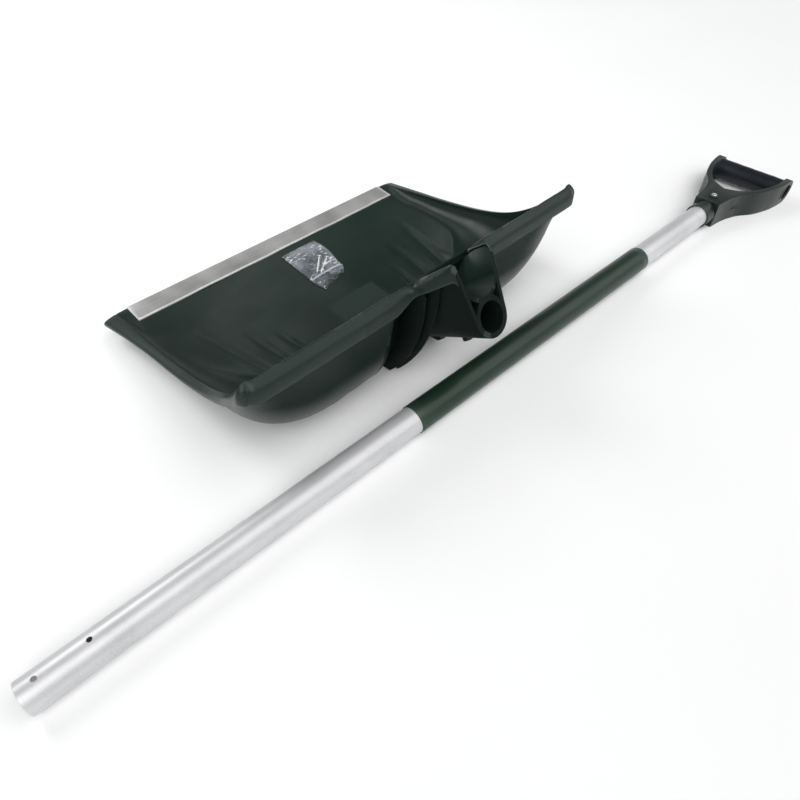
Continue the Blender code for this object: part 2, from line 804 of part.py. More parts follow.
def make_bar(parts, parent, finish):
    profile = [(BAR_RADIUS, BAR_HALF), (BAR_RADIUS, -BAR_HALF), (BAR_BORE, -BAR_HALF), (BAR_BORE, BAR_HALF)]
    bar = turned("grip_bar", profile, parts, parent, finish, 36)
    bar.rotation_euler = (pi / 2, 0, 0)
    bar.location = (BAR_PLACE, 0, 0)
    return bar


def screw_profile(head_radius, head_height, shank_radius, length):
    """Pan head above the origin, plain shank and short point below it."""
    return [
        (0.0, head_height),
        (head_radius * 0.7, head_height * 0.9),
        (head_radius, head_height * 0.4),
        (head_radius, 0.0),
        (shank_radius, 0.0),
        (shank_radius, -length + shank_radius * 2),
        (0.0, -length),
    ]


def make_screw(name, profile, parts, parent, finish):
    """A solid screw; the profile's first and last points lie on the axis."""
    bm = bmesh.new()
    verts = [bm.verts.new((radius, 0, height)) for radius, height in profile]
    for first, second in zip(verts, verts[1:]):
        bm.edges.new((first, second))
    made = add_object(name, mesh_from(bm, name), parts, parent, finish)
    step = made.modifiers.new("turn", "SCREW")
    step.axis = "Z"
    step.steps = 16
    step.render_steps = 16
    step.use_merge_vertices = True
    step.merge_threshold = 0.00001
    return made


def make_handle(parts, tools, parent, finishes):
    make_tube(parts, tools, parent, finishes["anodised"])
    make_sleeve(parts, parent, finishes["sleeve"])
    make_yoke(parts, tools, parent, finishes["grip"])
    make_bar(parts, parent, finishes["bar"])
    profile = screw_profile(GRIP_SCREW_HEAD, 0.0022, GRIP_SCREW_RADIUS, 0.0095)
    screw = make_screw("grip_screw", profile, parts, parent, finishes["zinc"])
    screw.location = (GRIP_SCREW_PLACE, 0, GRIP_BOSS_TOP + GAP)


# ---------------------------------------------------------------- bag of screws


def make_bag(parts, parent, finish):
    """A flat film pouch round the screws: seamed at one end, its mouth standing a little open."""
    around = 24
    along = 12

    def place(i, j):
        share = j / along
        length = -BAG_HALF_LENGTH + 2 * BAG_HALF_LENGTH * share
        fill = smooth_step(0.0, 0.3, share)
        end_height = BAG_SEAM_HEIGHT + (BAG_HEIGHT - BAG_SEAM_HEIGHT) * fill
        mouth = smooth_step(0.75, 1.0, share)
        height = end_height + (BAG_MOUTH_HEIGHT - BAG_HEIGHT) * mouth
        angle = 2 * pi * i / around
        across = BAG_HALF_WIDTH * cos(angle)
        lift = abs(sin(angle)) ** 0.4
        up = height * lift if sin(angle) > 0 else 0.0
        return Vector((across, -length, up + BAG_SEAM_HEIGHT * (sin(angle) > -0.5) * 0.2))

    mesh = mapped_grid("screw_bag", around, along, place)
    bm = bmesh.new()
    bm.from_mesh(mesh)
    bmesh.ops.remove_doubles(bm, verts=bm.verts, dist=0.000001)
    seam = [edge for edge in bm.edges if edge.is_boundary and edge.verts[0].co.y > 0]
    bmesh.ops.holes_fill(bm, edges=seam, sides=0)
    bm.to_mesh(mesh)
    bm.free()
    bag = add_object("screw_bag", mesh, parts, parent, finish)
    solidify(bag, BAG_FILM, 1)
    return bag


def make_bag_and_screws(parts, parent, finishes):
    make_bag(parts, parent, finishes["film"])
    profile = screw_profile(SCREW_HEAD_RADIUS, SCREW_HEAD_HEIGHT, SCREW_RADIUS, SCREW_LENGTH)
    for index, ((across, back), heading) in enumerate(FIXING_SCREWS):
        screw = make_screw(f"fixing_screw_{index + 1}", profile, parts, parent, finishes["zinc"])
        tip = Vector((cos(heading), sin(heading), 0))
        screw.location = (across - BAG_MIDDLE[0], BAG_MIDDLE[1] - back, SCREW_HEAD_RADIUS + GAP + 0.0002)
        screw.rotation_euler = (-tip).to_track_quat("Z", "Y").to_euler()


# ---------------------------------------------------------------- whole object


def empty(name, collection, location, rotation=(0, 0, 0), parent=None):
    made = add_object(name, None, collection, parent)
    made.location = location
    made.rotation_euler = rotation
    return made


def main():
    clear_scene()
    parts = new_collection("snow_shovel")
    tools = new_collection("cutters")
    finishes = {
        "scoop": material("scoop_green", SCOOP_GREEN, 0.38),
        "sleeve": material("sleeve_green", SLEEVE_GREEN, 0.45),
        "grip": material("grip_green", GRIP_GREEN, 0.42),
        "bar": material("bar_black", BAR_BLACK, 0.40),
        "anodised": material("anodised_aluminium", ANODISED, 0.35, 1.0),
        "mill": material("mill_aluminium", MILL_ALUMINIUM, 0.40, 1.0),
        "zinc": material("zinc_plate", ZINC, 0.30, 1.0),
        "film": material("clear_film", CLEAR_FILM, 0.12),
    }
    scoop_frame = empty("scoop_frame", parts, SCOOP_FRONT, (0, 0, SCOOP_YAW))
    make_scoop(parts, tools, scoop_frame, finishes["scoop"])
    make_wear_strip(parts, scoop_frame, finishes["mill"])

    tilt = asin((GRIP_HALF_HEIGHT - TUBE_RADIUS) / (YOKE_START - 0.008))
    handle_place = HANDLE_END + Vector((0, 0, TUBE_RADIUS))
    handle_frame = empty("handle_frame", parts, handle_place, (0, -tilt, 0))
    make_handle(parts, tools, handle_frame, finishes)

    front = floor_height(BAG_MIDDLE[1] - BAG_HALF_LENGTH)
    rear = floor_height(BAG_MIDDLE[1] + BAG_HALF_LENGTH)
    slope = atan2(front - rear, 2 * BAG_HALF_LENGTH)
    bag_place = scoop_point(BAG_MIDDLE[0], BAG_MIDDLE[1], (front + rear) / 2 + BAG_LIFT)
    bag_frame = empty("bag_frame", parts, bag_place, (slope, 0, 0), scoop_frame)
    make_bag_and_screws(parts, bag_frame, finishes)
    bpy.context.view_layer.update()


main()
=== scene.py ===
from math import acos, asin, atan2, cos, hypot, pi, radians, sin

import bmesh
import bpy
from mathutils import Matrix, Vector, noise


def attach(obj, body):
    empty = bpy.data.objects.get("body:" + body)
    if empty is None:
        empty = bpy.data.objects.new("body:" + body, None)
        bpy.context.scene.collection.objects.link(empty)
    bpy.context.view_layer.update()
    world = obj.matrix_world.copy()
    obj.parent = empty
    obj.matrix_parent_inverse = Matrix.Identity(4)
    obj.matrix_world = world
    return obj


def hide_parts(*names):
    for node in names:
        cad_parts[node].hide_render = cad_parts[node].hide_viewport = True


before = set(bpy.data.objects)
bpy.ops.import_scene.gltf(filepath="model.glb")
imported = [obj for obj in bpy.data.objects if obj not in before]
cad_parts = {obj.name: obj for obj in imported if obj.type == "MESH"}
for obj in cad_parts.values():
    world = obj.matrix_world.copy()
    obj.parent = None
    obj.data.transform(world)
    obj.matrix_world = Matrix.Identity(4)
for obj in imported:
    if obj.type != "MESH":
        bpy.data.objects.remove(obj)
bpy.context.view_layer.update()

# Where the pieces lie, as in the CAD frame, in metres.
HANDLE_END = Vector((-0.6135, -0.1668, 0.0))
SCOOP_FRONT = Vector((-0.1195, 0.2192, 0.0))
SCOOP_YAW = radians(2.1)

# Pan sections.
WALL = 0.003
FRONT_HEIGHT = 0.029
FLOOR_HEIGHT = 0.0031
FLOOR_CURVE = 1.3
HEEL_BACK = 0.251
HEEL_RADIUS = 0.075
REAR_LEAN = 0.002
RIM_HEIGHT = 0.145
SIDE_RIM_LENGTH = 0.326
SIDE_RIM_FRONT = 0.028
SIDE_RIM_RISE = 0.0455
EAR_RISE = 0.0715
EAR_POWER = 6
RIM_HALF = ((0.0, 0.237), (0.100, 0.2395), (0.250, 0.2405), (0.326, 0.246))
HEEL_SHARE = 0.54
REAR_SHARE = 0.81
SIDE_RIM_STATIONS = ((0.0, 0.0), (HEEL_SHARE, 0.240), (REAR_SHARE, 0.305), (1.0, SIDE_RIM_LENGTH))
CORNER_RADII = ((0.0, 0.020), (0.08, 0.020), (0.20, 0.018), (0.35, 0.030), (HEEL_SHARE, 0.095))
CORNER_RADII += ((REAR_SHARE, 0.095), (1.0, 0.026))
FLOOR_LIFT = ((0.0, 0.0), (0.08, 0.0), (0.20, 0.34), (0.35, 0.42), (HEEL_SHARE, 0.12), (0.70, 0.0))
PRESS_DEPTH = 0.014
PRESS_HALF_RIM = 0.057
PRESS_HALF_HEEL = 0.091
PRESS_EDGE = 0.003
PRESS_STARTS = (HEEL_SHARE, HEEL_SHARE + 0.18)
PRESS_ENDS = (0.93, 1.0)
OUTER_HALF = ((0.0, 0.255), (0.060, 0.2515), (0.120, 0.2495), (0.240, 0.2495), (0.300, 0.252), (0.326, 0.256))
REAR_FLANGE = 0.012
# Where the band at the socket covers the rear flange, the flange narrows: its width, and from where to where.
FLANGE_UNDER_BAND = 0.0036
BAND_COVERS = (0.050, 0.072)
FLANGE_DROPS = ((0.0, 0.008), (0.080, 0.005), (0.200, 0.006), (0.290, 0.012), (SIDE_RIM_LENGTH, 0.020))
CORNER_PLAN_RADIUS = 0.020
# Section of the turned-over flange: share of its width and share of its drop.
FLANGE_PROFILE = ((0.0, 0.0), (0.08, -0.03), (0.20, 0.0), (0.42, 0.08), (0.66, 0.20))
FLANGE_PROFILE += ((0.86, 0.34), (0.97, 0.52), (1.0, 0.76), (1.0, 1.0))

# The pan's grid: places in its columns and rows, and how finely each is drawn.
CENTRE_COLUMNS = 3
STEP_COLUMNS = 4
FLOOR_COLUMNS = 12
CORNER_COLUMNS = 6
PAN_ROWS = 26
FINE = 4

# Shallow flutes pressed into the pan's floor: tip and end as (across, back), half width and depth. They run
# out past their ends, begin with a share of their width and are round by a share along their crease.
FLUTES = (
    ((0.186, 0.050), (0.148, 0.262), 0.016, 0.0048),
    ((0.140, 0.066), (0.118, 0.262), 0.011, 0.0034),
    ((0.108, 0.105), (0.088, 0.262), 0.010, 0.0034),
)
FLUTE_RUN_OUT = 0.36
FLUTE_TIP_WIDTH = 0.12
FLUTE_ROUNDING = 0.03
# Slight unevenness of the moulded floor: height, and how often it changes across and along.
UNEVEN_HEIGHT = 0.0009
UNEVEN_ACROSS = 16
UNEVEN_ALONG = 7

# Duller square on the floor: centre and half size.
PAD_CENTRE = (0.016, -0.190)
PAD_HALF = (0.042, 0.032)

# Handle socket.
SOCKET_MOUTH = (0.405, 0.122)
SOCKET_SLOPE = radians(30)
BORE_RADIUS = 0.01665
BORE_DEPTH = 0.108
HULL_RADIUS = 0.0225
HULL_LENGTH = 0.150
HULL_WALL = 0.0036
VOID_DEPTH = 0.085
SHOULDER_HALF = 0.028
SHOULDER_RISE = 0.0688
SHOULDER_LENGTH = 0.058
SHOULDER_FLARE = 0.017
SHOULDER_FALL = 0.0123
SHOULDER_CORNER = 0.007
TROUGH_RADIUS = 0.022
TROUGH_RISE = 0.0445
SIDE_VOID = ((0.0106, 0.0206), (0.0134, 0.0172), (0.0168, 0.0134), (0.0190, 0.0098), (0.0200, 0.0150))
SIDE_VOID += ((0.0208, 0.0230), (0.0210, 0.0296), (0.0192, 0.0274), (0.0170, 0.0250), (0.0142, 0.0226))
# Band along the socket's top edge: how far it starts inside the edge, its width beyond the edge and its drop,
# both from the rear end to the rim, and how far the hull's inner and outer top edges lie under it.
BAND_INSET = 0.0038
BAND_STARTS = (-0.004, 0.003)
BAND_WIDTHS = (0.0006, 0.012)
BAND_DROPS = (0.017, 0.013)
HULL_SINK_INNER = 0.0020
HULL_SINK_OUTER = 0.0062
HULL_SINK_FRONT = 0.0025
BOSS_DEPTHS = (0.047, 0.091)
BOSS_RADIUS = 0.0055
BOSS_REACH = 0.0275
SCREW_HOLE_RADIUS = 0.0024
FIN_THICKNESS = 0.0025
FINS = (
    (
        0.044,
        ((0.353, 0.140), (0.352, 0.060), (0.300, 0.004)),
        ((0.300, 0.105), (0.3163, 0.1256), (0.333, 0.1440), (0.3455, 0.1525)),
    ),
    (
        0.036,
        ((0.364, 0.153), (0.362, 0.070), (0.306, 0.005)),
        ((0.300, 0.100), (0.322, 0.1157), (0.342, 0.1470), (0.3565, 0.1655)),
    ),
)
FIN_FOOT = ((0.258, 0.0012), (0.225, 0.012), (0.225, 0.060))

# Wear strip.
GAP = 0.0003
STRIP_LENGTH = 0.443
STRIP_TOP_WIDTH = 0.031
STRIP_UNDER_WIDTH = 0.0155
STRIP_METAL = 0.0012

# Handle.
TUBE_RADIUS = 0.016
TUBE_WALL = 0.0014
TUBE_LENGTH = 1.088
TUBE_HOLES = (0.015, 0.059)
TUBE_HOLE_RADIUS = 0.0025
SLEEVE_START = 0.417
SLEEVE_END = 0.863
SLEEVE_RADIUS = 0.0171
GRIP_HALF_HEIGHT = 0.019
COLLAR_START = 1.030
COLLAR_RADIUS = 0.0185
YOKE_START = 1.060
BAR_PLACE = 1.208
BAR_RADIUS = 0.016
BAR_BORE = 0.0125
BAR_HALF = 0.0622
GRIP_HALF = 0.0625
GRIP_SCREW_PLACE = 1.071
GRIP_SCREW_RADIUS = 0.002
GRIP_SCREW_HEAD = 0.0042
GRIP_BOSS_RADIUS = 0.0062
GRIP_BOSS_TOP = 0.0205
POCKET_PLACE = 1.101
POCKET_SIDE = 0.0285
POCKET_SIZE = (0.016, 0.004, 0.006)
POCKET_TURN = radians(24)
HORN_INNER = 0.0525
TOOL_REACH = 0.03

# Bag of fixing screws.
BAG_MIDDLE = (0.022, 0.084)
BAG_HALF_WIDTH = 0.030
BAG_HALF_LENGTH = 0.042
BAG_LIFT = 0.0007
SCREW_LENGTH = 0.034
SCREW_RADIUS = 0.0022
SCREW_HEAD_RADIUS = 0.0038
SCREW_HEAD_HEIGHT = 0.0026
FIXING_SCREWS = (((0.0300, 0.0800), radians(-135)), ((0.0365, 0.0880), radians(-144)))

UPRIGHT = Matrix(((0, 0, -1), (-1, 0, 0), (0, 1, 0))).to_4x4()


# -------- general helpers


def interpolate(stations, at):
    for (low, low_value), (high, high_value) in zip(stations, stations[1:]):
        if at <= high:
            return low_value + (high_value - low_value) * (at - low) / (high - low)
    return stations[-1][1]


def smooth_curve(stations, at):
    """Smooth value between (place, value) stations that never overshoots them."""
    slopes = [
        (high_value - low_value) / (high - low)
        for (low, low_value), (high, high_value) in zip(stations, stations[1:])
    ]
    index = 0
    while index < len(slopes) - 1 and at > stations[index + 1][0]:
        index += 1

    def tangent(at_station):
        if at_station == 0:
            return slopes[0]
        if at_station == len(slopes):
            return slopes[-1]
        before, after = slopes[at_station - 1], slopes[at_station]
        return 0.0 if before * after <= 0 else 2 * before * after / (before + after)

    (low, low_value), (high, high_value) = stations[index], stations[index + 1]
    width = high - low
    t = min(max((at - low) / width, 0.0), 1.0)
    start = (1 + 2 * t) * (1 - t) ** 2 * low_value + t * (1 - t) ** 2 * width * tangent(index)
    end = t * t * (3 - 2 * t) * high_value - t * t * (1 - t) * width * tangent(index + 1)
    return start + end


def smooth_step(low, high, at):
    share = min(max((at - low) / (high - low), 0.0), 1.0)
    return share * share * (3 - 2 * share)


def bezier(first, control, last, steps):
    points = []
    for step in range(steps + 1):
        share = step / steps
        weights = ((1 - share) ** 2, 2 * share * (1 - share), share * share)
        points.append(tuple(sum(w * c for w, c in zip(weights, axis)) for axis in zip(first, control, last)))
    return points


def smooth_line(points, steps):
    """A curve through all the points, with even steps between each two."""
    path = []
    padded = [points[0], *points, points[-1]]
    for a, b, c, d in zip(padded, padded[1:], padded[2:], padded[3:]):
        for step in range(steps):
            t = step / steps
            path.append(
                tuple(
                    q
                    + (r - p) * t / 2
                    + (2 * p - 5 * q + 4 * r - s) * t * t / 2
                    + (3 * q - p - 3 * r + s) * t**3 / 2
                    for p, q, r, s in zip(a, b, c, d)
                )
            )
    path.append(points[-1])
    return path


def link(name, mesh, matrix=None):
    made = bpy.data.objects.new(name, mesh)
    bpy.context.scene.collection.objects.link(made)
    if matrix is not None:
        made.matrix_world = matrix
    return made


def mesh_from(bm, name, smooth_angle=35):
    mesh = bpy.data.meshes.new(name)
    bm.to_mesh(mesh)
    bm.free()
    mesh.shade_smooth()
    mesh.set_sharp_from_angle(angle=radians(smooth_angle))
    return mesh


def grid_bmesh(columns, rows, place, closed=False):
    """A sheet of columns x rows faces whose corner (i, j) lies at place(i, j)."""
    bm = bmesh.new()
    around = columns if closed else columns + 1
    verts = [[bm.verts.new(place(i, j)) for i in range(around)] for j in range(rows + 1)]
    for j in range(rows):
        for i in range(columns):
            k = (i + 1) % around
            bm.faces.new((verts[j][i], verts[j][k], verts[j + 1][k], verts[j + 1][i]))
    return bm


def close_ends(bm):
    bmesh.ops.holes_fill(bm, edges=[edge for edge in bm.edges if edge.is_boundary], sides=0)
    bmesh.ops.recalc_face_normals(bm, faces=bm.faces)


def revolve(profile, segments=72, closed=True):
    """A (radius, height) profile turned about Z."""
    rows = len(profile) if closed else len(profile) - 1

    def place(i, j):
        radius, height = profile[j % len(profile)]
        angle = 2 * pi * i / segments
        return Vector((radius * cos(angle), radius * sin(angle), height))

    bm = grid_bmesh(segments, rows, place, closed=True)
    bmesh.ops.remove_doubles(bm, verts=bm.verts, dist=1e-6)
    bmesh.ops.recalc_face_normals(bm, faces=bm.faces)
    return bm


def cylinder(name, radius, length, segments=64):
    profile = [(0.0, 0.0), (radius, 0.0), (radius, length), (0.0, length)]
    return mesh_from(revolve(profile, segments, False), name)


def plate_mesh(name, outline, half_thickness):
    """A closed outline in XY, filled and thickened equally up and down."""
    curve = bpy.data.curves.new(name, "CURVE")
    curve.dimensions = "2D"
    curve.fill_mode = "BOTH"
    curve.extrude = half_thickness
    spline = curve.splines.new("POLY")
    spline.points.add(len(outline) - 1)
    for point, (x, y) in zip(spline.points, outline):
        point.co = (x, y, 0, 1)
    spline.use_cyclic_u = True
    drawn = link(name + "_outline", curve)
    mesh = bpy.data.meshes.new_from_object(drawn.evaluated_get(bpy.context.evaluated_depsgraph_get()))
    bm = bmesh.new()
    bm.from_mesh(mesh)
    bmesh.ops.remove_doubles(bm, verts=bm.verts, dist=1e-6)
    bmesh.ops.recalc_face_normals(bm, faces=bm.faces)
    bpy.data.objects.remove(drawn, do_unlink=True)
    return mesh_from(bm, name)


def add_boolean(target, other, operation):
    step = target.modifiers.new(operation.lower(), "BOOLEAN")
    step.object = other
    step.operation = operation
    step.solver = "EXACT"


def cut(target, tools, tool, operation="DIFFERENCE"):
    """A Boolean step whose tool is kept in tools until the step is applied."""
    tools.append(tool)
    add_boolean(target, tool, operation)


def thicken(made, thickness, even=False):
    step = made.modifiers.new("wall", "SOLIDIFY")
    step.thickness = thickness
    step.offset = -1
    step.use_even_offset = even


def apply_all(made, smooth_angle=30, drop=()):
    """Bakes the modifiers into the mesh and removes the tools."""
    bpy.context.view_layer.update()
    evaluated = made.evaluated_get(bpy.context.evaluated_depsgraph_get())
    mesh = bpy.data.meshes.new_from_object(evaluated)
    made.modifiers.clear()
    old = made.data
    made.data = mesh
    mesh.name = made.name
    bpy.data.meshes.remove(old)
    mesh.shade_smooth()
    mesh.set_sharp_from_angle(angle=radians(smooth_angle))
    for tool in drop:
        bpy.data.objects.remove(tool, do_unlink=True)
    return made


def bevel(made, width, segments=2, angle=40):
    step = made.modifiers.new("edges", "BEVEL")
    step.width = width
    step.segments = segments
    step.limit_method = "ANGLE"
    step.angle_limit = radians(angle)
    step.use_clamp_overlap = True


# -------- materials


class Nodes:
    """Short calls for building one material's nodes."""

    def __init__(self, name):
        self.material = bpy.data.materials.new(name)
        self.material.use_nodes = True
        self.tree = self.material.node_tree
        self.shader = self.tree.nodes["Principled BSDF"]
        self.place = self.new("ShaderNodeTexCoord").outputs["Object"]

    def new(self, kind, inputs=(), **values):
        node = self.tree.nodes.new(kind)
        for key, value in values.items():
            setattr(node, key, value)
        for key, value in dict(inputs).items():
            node.inputs[key].default_value = value
        return node

    def join(self, output, socket):
        self.tree.links.new(output, socket)

    def stretch(self, scale, turn=0.0):
        node = self.new("ShaderNodeMapping", {"Scale": scale, "Rotation": (0, 0, turn)})
        self.join(self.place, node.inputs["Vector"])
        return node.outputs["Vector"]

    def noise(self, scale, detail=4.0, vector=None, rough=0.55, distortion=0.0):
        inputs = {"Scale": scale, "Detail": detail, "Roughness": rough, "Distortion": distortion}
        node = self.new("ShaderNodeTexNoise", inputs)
        self.join(vector or self.place, node.inputs["Vector"])
        return node.outputs["Fac"]

    def span(self, value, low, high, to_low=0.0, to_high=1.0):
        inputs = {"From Min": low, "From Max": high, "To Min": to_low, "To Max": to_high}
        node = self.new("ShaderNodeMapRange", inputs)
        self.join(value, node.inputs["Value"])
        return node.outputs["Result"]

    def math(self, kind, first, second):
        node = self.new("ShaderNodeMath", operation=kind)
        for socket, value in zip(node.inputs, (first, second)):
            if isinstance(value, (int, float)):
                socket.default_value = value
            else:
                self.join(value, socket)
        return node.outputs["Value"]

    def mix(self, factor, first, second):
        node = self.new("ShaderNodeMix", data_type="RGBA")
        self.join(factor, node.inputs[0])
        for socket, value in zip((node.inputs[6], node.inputs[7]), (first, second)):
            if isinstance(value, tuple):
                socket.default_value = (*value, 1.0)
            else:
                self.join(value, socket)
        return node.outputs[2]

    def bumps(self, *layers):
        """Layers of (height, distance in metres, strength)."""
        normal = None
        for height, distance, strength in layers:
            node = self.new("ShaderNodeBump", {"Distance": distance, "Strength": strength})
            self.join(height, node.inputs["Height"])
            if normal:
                self.join(normal, node.inputs["Normal"])
            normal = node.outputs["Normal"]
        self.join(normal, self.shader.inputs["Normal"])

    def soft_field(self, centre, half):
        """1 inside a soft-edged rectangle of the piece's own XY, 0 outside."""
        split = self.new("ShaderNodeSeparateXYZ")
        self.join(self.place, split.inputs[0])
        inside = []
        for axis, middle, reach in zip("XY", centre, half):
            off = self.math("ABSOLUTE", self.math("SUBTRACT", split.outputs[axis], middle), 0.0)
            inside.append(self.span(off, reach, reach - 0.004))
        return self.math("MULTIPLY", inside[0], inside[1])

    def edges(self, radius):
        """How near a sharp edge is: 0 on a flat face, towards 1 on an edge."""
        sharp = self.new("ShaderNodeNewGeometry").outputs["Pointiness"]
        return self.span(sharp, 0.5, 0.5 + radius)

    def finish(self, color=None, roughness=None, **constants):
        if color is not None:
            self.join(color, self.shader.inputs["Base Color"])
        if roughness is not None:
            self.join(roughness, self.shader.inputs["Roughness"])
        for key, value in constants.items():
            self.shader.inputs[key.replace("_", " ")].default_value = value
        return self.material


def plastic(name, colours, rough, grain=900.0, gloss=0.36, pad=False):
    """Moulded plastic: cloudy colour, fine grain, faint scuffs, and paler edges that are partly wear and
    partly a painted highlight along ridges.
    """
    dark, light_colour, wear_and_edge_highlight = colours
    n = Nodes(name)
    cloud = n.noise(7.0, 3.0)
    speck = n.noise(260.0, 2.0)
    base = n.mix(n.span(cloud, 0.35, 0.68), dark, light_colour)
    base = n.mix(n.span(speck, 0.60, 0.80, 0.0, 0.35), base, light_colour)
    scuff_line = n.noise(14.0, 8.0, n.stretch((1.0, 9.0, 3.0), 0.5), 0.7)
    scuff = n.span(scuff_line, 0.66, 0.78, 0.0, 0.16)
    base = n.mix(scuff, base, wear_and_edge_highlight)
    # Paler edges: partly wear, partly a painted highlight along the ridges.
    base = n.mix(n.math("MULTIPLY", n.edges(0.08), 0.55), base, wear_and_edge_highlight)
    smear = n.span(n.noise(11.0, 6.0, n.stretch((1.0, 2.6, 1.0), 0.3)), 0.3, 0.7, rough[0], rough[1])
    smear = n.math("ADD", smear, n.math("MULTIPLY", scuff, 0.25))
    if pad:
        field = n.soft_field(PAD_CENTRE, PAD_HALF)
        base = n.mix(n.math("MULTIPLY", field, 0.8), base, (0.0150, 0.0270, 0.0225))
        smear = n.math("ADD", smear, n.math("MULTIPLY", field, 0.22))
    n.bumps(
        (n.noise(18.0, 2.0), 0.0009, 0.04),
        (n.noise(grain, 3.0), 0.00006, 0.35),
    )
    return n.finish(base, smear, Specular_IOR_Level=gloss, IOR=1.49)


def make_mill_aluminium():
    n = Nodes("mill_aluminium")
    along = n.noise(60.0, 7.0, n.stretch((0.22, 14.0, 14.0)), 0.8)
    scratch_a = n.noise(34.0, 9.0, n.stretch((1.0, 16.0, 1.0), 0.9), 0.75)
    scratch_b = n.noise(30.0, 9.0, n.stretch((1.2, 20.0, 1.0), -0.5), 0.75)
    cloud = n.noise(22.0, 4.0)
    marks = n.math("MAXIMUM", n.span(scratch_a, 0.64, 0.70), n.span(scratch_b, 0.66, 0.72))
    broad = n.noise(5.5, 3.0, n.stretch((1.0, 0.3, 1.0)))
    base = n.mix(n.span(cloud, 0.3, 0.7), (0.24, 0.235, 0.225), (0.36, 0.355, 0.35))
    base = n.mix(n.span(broad, 0.45, 0.68), base, (0.56, 0.56, 0.56))
    base = n.mix(n.span(along, 0.42, 0.66, 0.0, 0.55), base, (0.52, 0.515, 0.50))
    base = n.mix(n.math("MULTIPLY", marks, 0.8), base, (0.86, 0.86, 0.87))
    base = n.mix(n.edges(0.05), base, (0.80, 0.80, 0.81))
    rough = n.span(cloud, 0.3, 0.7, 0.30, 0.46)
    rough = n.math("SUBTRACT", rough, n.math("MULTIPLY", marks, 0.10))
    n.bumps((along, 0.00004, 0.35), (marks, 0.00004, 0.5), (n.noise(9.0, 2.0), 0.0008, 0.25))
    return n.finish(base, rough, Metallic=0.55)


def make_anodised():
    n = Nodes("anodised_aluminium")
    grain = n.noise(90.0, 5.0, n.stretch((0.12, 9.0, 9.0)), 0.65)
    cloud = n.noise(9.0, 5.0, n.stretch((0.7, 2.0, 2.0)))
    smudge = n.span(n.noise(26.0, 7.0, None, 0.7, 0.6), 0.58, 0.72)
    base = n.mix(n.span(cloud, 0.3, 0.7), (0.50, 0.50, 0.515), (0.60, 0.60, 0.615))
    base = n.mix(n.span(grain, 0.35, 0.7, 0.0, 0.35), base, (0.70, 0.70, 0.715))
    base = n.mix(n.math("MULTIPLY", smudge, 0.30), base, (0.30, 0.30, 0.31))
    rough = n.math("ADD", n.span(grain, 0.3, 0.7, 0.32, 0.44), n.math("MULTIPLY", smudge, 0.08))
    n.bumps((grain, 0.00003, 0.30), (n.noise(700.0, 2.0), 0.00002, 0.25))
    return n.finish(base, rough, Metallic=0.35)


def make_zinc():
    n = Nodes("zinc_plate")
    cloud = n.noise(420.0, 4.0)
    base = n.mix(n.span(cloud, 0.3, 0.7), (0.62, 0.62, 0.60), (0.84, 0.84, 0.82))
    n.bumps((n.noise(1400.0, 3.0), 0.00003, 0.4))
    return n.finish(base, n.span(cloud, 0.3, 0.7, 0.22, 0.40), Metallic=1.0)


def make_film(name, highlight_opacity, haze_low):
    """Clear film: mostly see-through, with a painted highlight along its creases that makes them whiter and
    more opaque.
    """
    n = Nodes(name)
    crease = n.noise(58.0, 4.0, n.stretch((1.0, 2.2, 1.0), 0.7), 0.6, 1.2)
    # folds marks the painted highlight along the film's creases: whiter colour and more opacity there.
    folds = n.span(crease, 0.60, 0.66)
    base = n.mix(folds, (0.50, 0.53, 0.60), (0.96, 0.97, 0.98))
    facing = n.new("ShaderNodeLayerWeight", {"Blend": 0.35})
    haze = n.span(n.noise(38.0, 3.0), 0.40, 0.66, haze_low, haze_low + 0.20)
    alpha = n.span(facing.outputs["Facing"], 0.25, 0.95, 0.03, 0.50)
    alpha = n.math("ADD", alpha, n.math("ADD", haze, n.math("MULTIPLY", folds, highlight_opacity)))
    n.join(alpha, n.shader.inputs["Alpha"])
    n.bumps((crease, 0.0005, 0.18), (n.noise(420.0, 3.0), 0.0001, 0.06))
    return n.finish(base, n.span(crease, 0.3, 0.7, 0.12, 0.26), Specular_IOR_Level=0.7, IOR=1.5)


SCOOP_FINISH = plastic(
    "scoop_green",
    ((0.0050, 0.0130, 0.0095), (0.0080, 0.0190, 0.0140), (0.030, 0.050, 0.042)),
    rough=(0.27, 0.38),
    gloss=0.26,
    pad=True,
)
# A darker, duller copy of the green: painted shade on the fins, the hull's outer sides, the bore and the
# recess beside the socket.
PAINTED_SHADE_FINISH = plastic(
    "scoop_green_painted_shade",
    ((0.0030, 0.0060, 0.0048), (0.0050, 0.0095, 0.0075), (0.010, 0.016, 0.014)),
    rough=(0.45, 0.58),
    gloss=0.07,
)
SLEEVE_FINISH = plastic(
    "sleeve_green",
    ((0.007, 0.020, 0.012), (0.012, 0.030, 0.018), (0.050, 0.085, 0.060)),
    rough=(0.28, 0.40),
    grain=1500.0,
)
GRIP_FINISH = plastic(
    "grip_green",
    ((0.0060, 0.0110, 0.0095), (0.0100, 0.0165, 0.0145), (0.050, 0.062, 0.058)),
    rough=(0.26, 0.42),
    grain=1200.0,
)
BAR_FINISH = plastic(
    "bar_black",
    ((0.0060, 0.0080, 0.0120), (0.0100, 0.0130, 0.0180), (0.045, 0.050, 0.060)),
    rough=(0.26, 0.42),
    grain=1200.0,
)
MILL_FINISH = make_mill_aluminium()
ANODISED_FINISH = make_anodised()
ZINC_FINISH = make_zinc()
FILM_FINISH = make_film("clear_film", 0.42, 0.02)
ZIP_FINISH = make_film("zip_film", 0.60, 0.50)


def dress(made, finish, body, slot, *nodes):
    made.data.materials.clear()
    made.data.materials.append(finish)
    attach(made, body)
    if nodes:
        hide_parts(*nodes)
    return made


# -------- scoop


SCOOP_MATRIX = Matrix.Translation(SCOOP_FRONT) @ Matrix.Rotation(SCOOP_YAW, 4, "Z")


def scoop_point(across, back, up):
    return Vector((across, -back, up))


